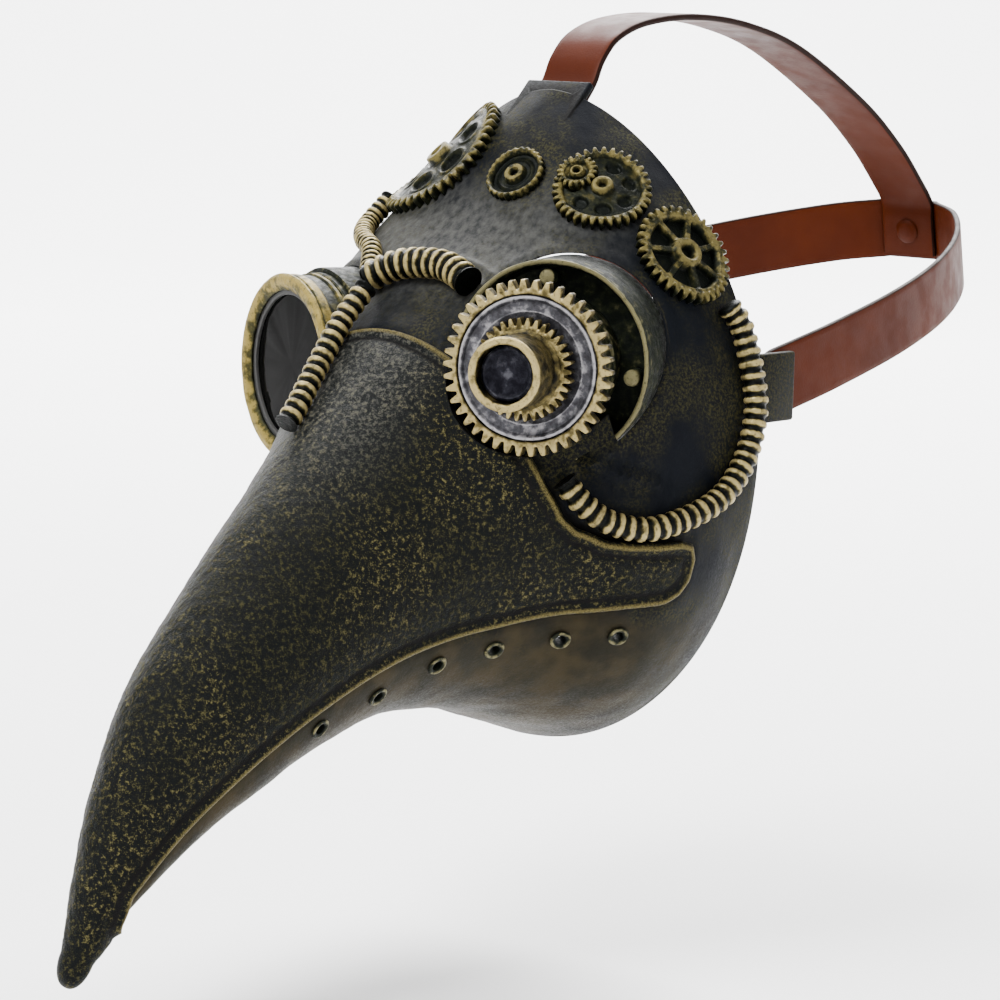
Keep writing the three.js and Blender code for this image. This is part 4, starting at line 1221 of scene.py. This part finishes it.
def rivets():
    """Domed rivet heads inside the straps, on stands like those of the solids that they replace."""
    side_start = BAND_HALF_WIDTH - STRAP_THICKNESS - 0.3
    seat_reach = BAND_REACH - 1.5 * STRAP_THICKNESS - 0.5
    rear_start = seat_reach - STRAP_THICKNESS / 2 - 0.3
    rear_out = band_place([(0, 1, 0)])[0] - band_place([(0, 0, 0)])[0]
    rear_place = band_place([(0, rear_start, 0)])[0]
    pivot = np.array(PIVOT, float)
    rivet("band_rivet_left", pivot + (side_start, 0, 0), (1, 0, 0), 4.5, "mask")
    rivet("band_rivet_right", pivot - (side_start, 0, 0), (-1, 0, 0), 4.5, "mask")
    rivet("band_rivet_rear", rear_place, rear_out, 2.6, "harness", LEATHER)
    out = np.array((0, -math.sqrt(0.5), math.sqrt(0.5)))
    rivet("strap_rivet_top", np.array((0, -6.6, 99.4)) - out * 7.5, out, 6.3, "mask")


def rivet(name, origin, outward, length, body, material=RIVET):
    side = Vector((0, 0, 1)).cross(Vector(outward)).normalized()
    up = Vector(outward).normalized().cross(side)
    stand = (np.array((side, up, Vector(outward).normalized())).T, np.array(origin, float))
    profile = [(0.01, -1.2), (1.6, -1.18), (3.0, -0.95), (4.1, -0.5), (4.5, -0.15), (4.45, 0),
               (1.9, 0), (1.9, length)]
    points, faces = spun(profile, 40, closed=True)
    wear = np.repeat([0.9, 0.9, 0.8, 0.6, 0.4, 0.2, 0.2, 0.2], 40)
    piece = make_piece(name + "_head", place(points, stand), faces, wear)
    orient(piece)
    return finish_piece(piece, material, body, [name], 50)


# ---- Stage, light and camera ----
FLOOR_HEIGHT = -0.172  # metres, below the beak's tip


def floor_material():
    material, tree, shader = new_material("pale_floor")
    colour = blend_colour(tree, noise(tree, 3, 2.0), (0.86, 0.86, 0.86), (0.90, 0.90, 0.90))
    tree.links.new(colour, shader.inputs["Base Color"])
    shader.inputs["Roughness"].default_value = 0.9
    return material


def studio_floor():
    """A pale floor below the beak's tip that curves up far behind."""
    depth = np.linspace(-4, 4, 60)
    rise = np.where(depth > 2.2, (depth - 2.2) ** 2 * 1.3, 0)
    mesh = bpy.data.meshes.new("studio_floor")
    turn = Matrix.Rotation(VIEW_AZIMUTH, 3, "Z")
    points = [turn @ Vector((x, d, FLOOR_HEIGHT + r)) for d, r in zip(depth, rise) for x in (-7, 7)]
    faces = [[2 * i, 2 * i + 1, 2 * i + 3, 2 * i + 2] for i in range(len(depth) - 1)]
    mesh.from_pydata([tuple(p) for p in points], [], faces)
    mesh.shade_smooth()
    floor = bpy.data.objects.new("studio_floor", mesh)
    bpy.context.scene.collection.objects.link(floor)
    floor.data.materials.append(floor_material())


def square_light(name, size, power):
    data = bpy.data.lights.new(name, "AREA")
    data.shape = "SQUARE"
    data.size = size
    data.energy = power
    light = bpy.data.objects.new(name, data)
    bpy.context.scene.collection.objects.link(light)
    return light


def area_light(name, azimuth, rise, distance, size, power):
    """A soft square light that looks at the mask; the azimuth is counted like the camera's."""
    light = square_light(name, size, power)
    a, e = math.radians(azimuth), math.radians(rise)
    back = Vector((math.sin(a) * math.cos(e), -math.cos(a) * math.cos(e), math.sin(e)))
    light.location = back * distance + Vector((0, -0.05, 0))
    light.rotation_euler = back.to_track_quat("Z", "Y").to_euler()


def studio_light():
    world = bpy.data.worlds.new("studio")
    bpy.context.scene.world = world
    world.use_nodes = True
    sky = world.node_tree.nodes["Background"]
    sky.inputs["Color"].default_value = (1, 1, 1, 1)
    sky.inputs["Strength"].default_value = 0.85
    area_light("key", -12, 52, 1.5, 0.7, 48)
    area_light("fill", 95, 20, 1.7, 1.1, 14)
    area_light("back", 200, 50, 1.6, 0.9, 20)
    backdrop_light()


def backdrop_light():
    """A broad light over the floor behind the mask, which keeps the backdrop near white."""
    light = square_light("backdrop", 2.5, 380)
    behind = Matrix.Rotation(VIEW_AZIMUTH, 3, "Z") @ Vector((0, 2.3, 0))
    light.location = behind + Vector((0, 0, 1.9))


def camera():
    data = bpy.data.cameras.new("camera")
    data.lens = LENS_MM
    data.sensor_width = 36
    data.clip_end = 30
    view = bpy.data.objects.new("camera", data)
    a, e = VIEW_AZIMUTH, VIEW_RISE
    back = Vector((math.sin(a) * math.cos(e), -math.cos(a) * math.cos(e), math.sin(e)))
    level = Vector((math.cos(a), math.sin(a), 0))
    upright = back.cross(level)
    right = level * math.cos(VIEW_ROLL) + upright * math.sin(VIEW_ROLL)
    up = upright * math.cos(VIEW_ROLL) - level * math.sin(VIEW_ROLL)
    axes = Matrix((right, up, back)).transposed().to_4x4()
    place_at = (VIEW_AIM + back * VIEW_DISTANCE) * MM
    view.matrix_world = Matrix.Translation(place_at) @ axes
    bpy.context.scene.collection.objects.link(view)
    bpy.context.scene.camera = view


camera()
face_shell()
beak_casing()
gear_eye()
goggle()
brow_gears()
hoses()
eyelets()
rear_band()
top_strap()
rivets()
studio_floor()
studio_light()
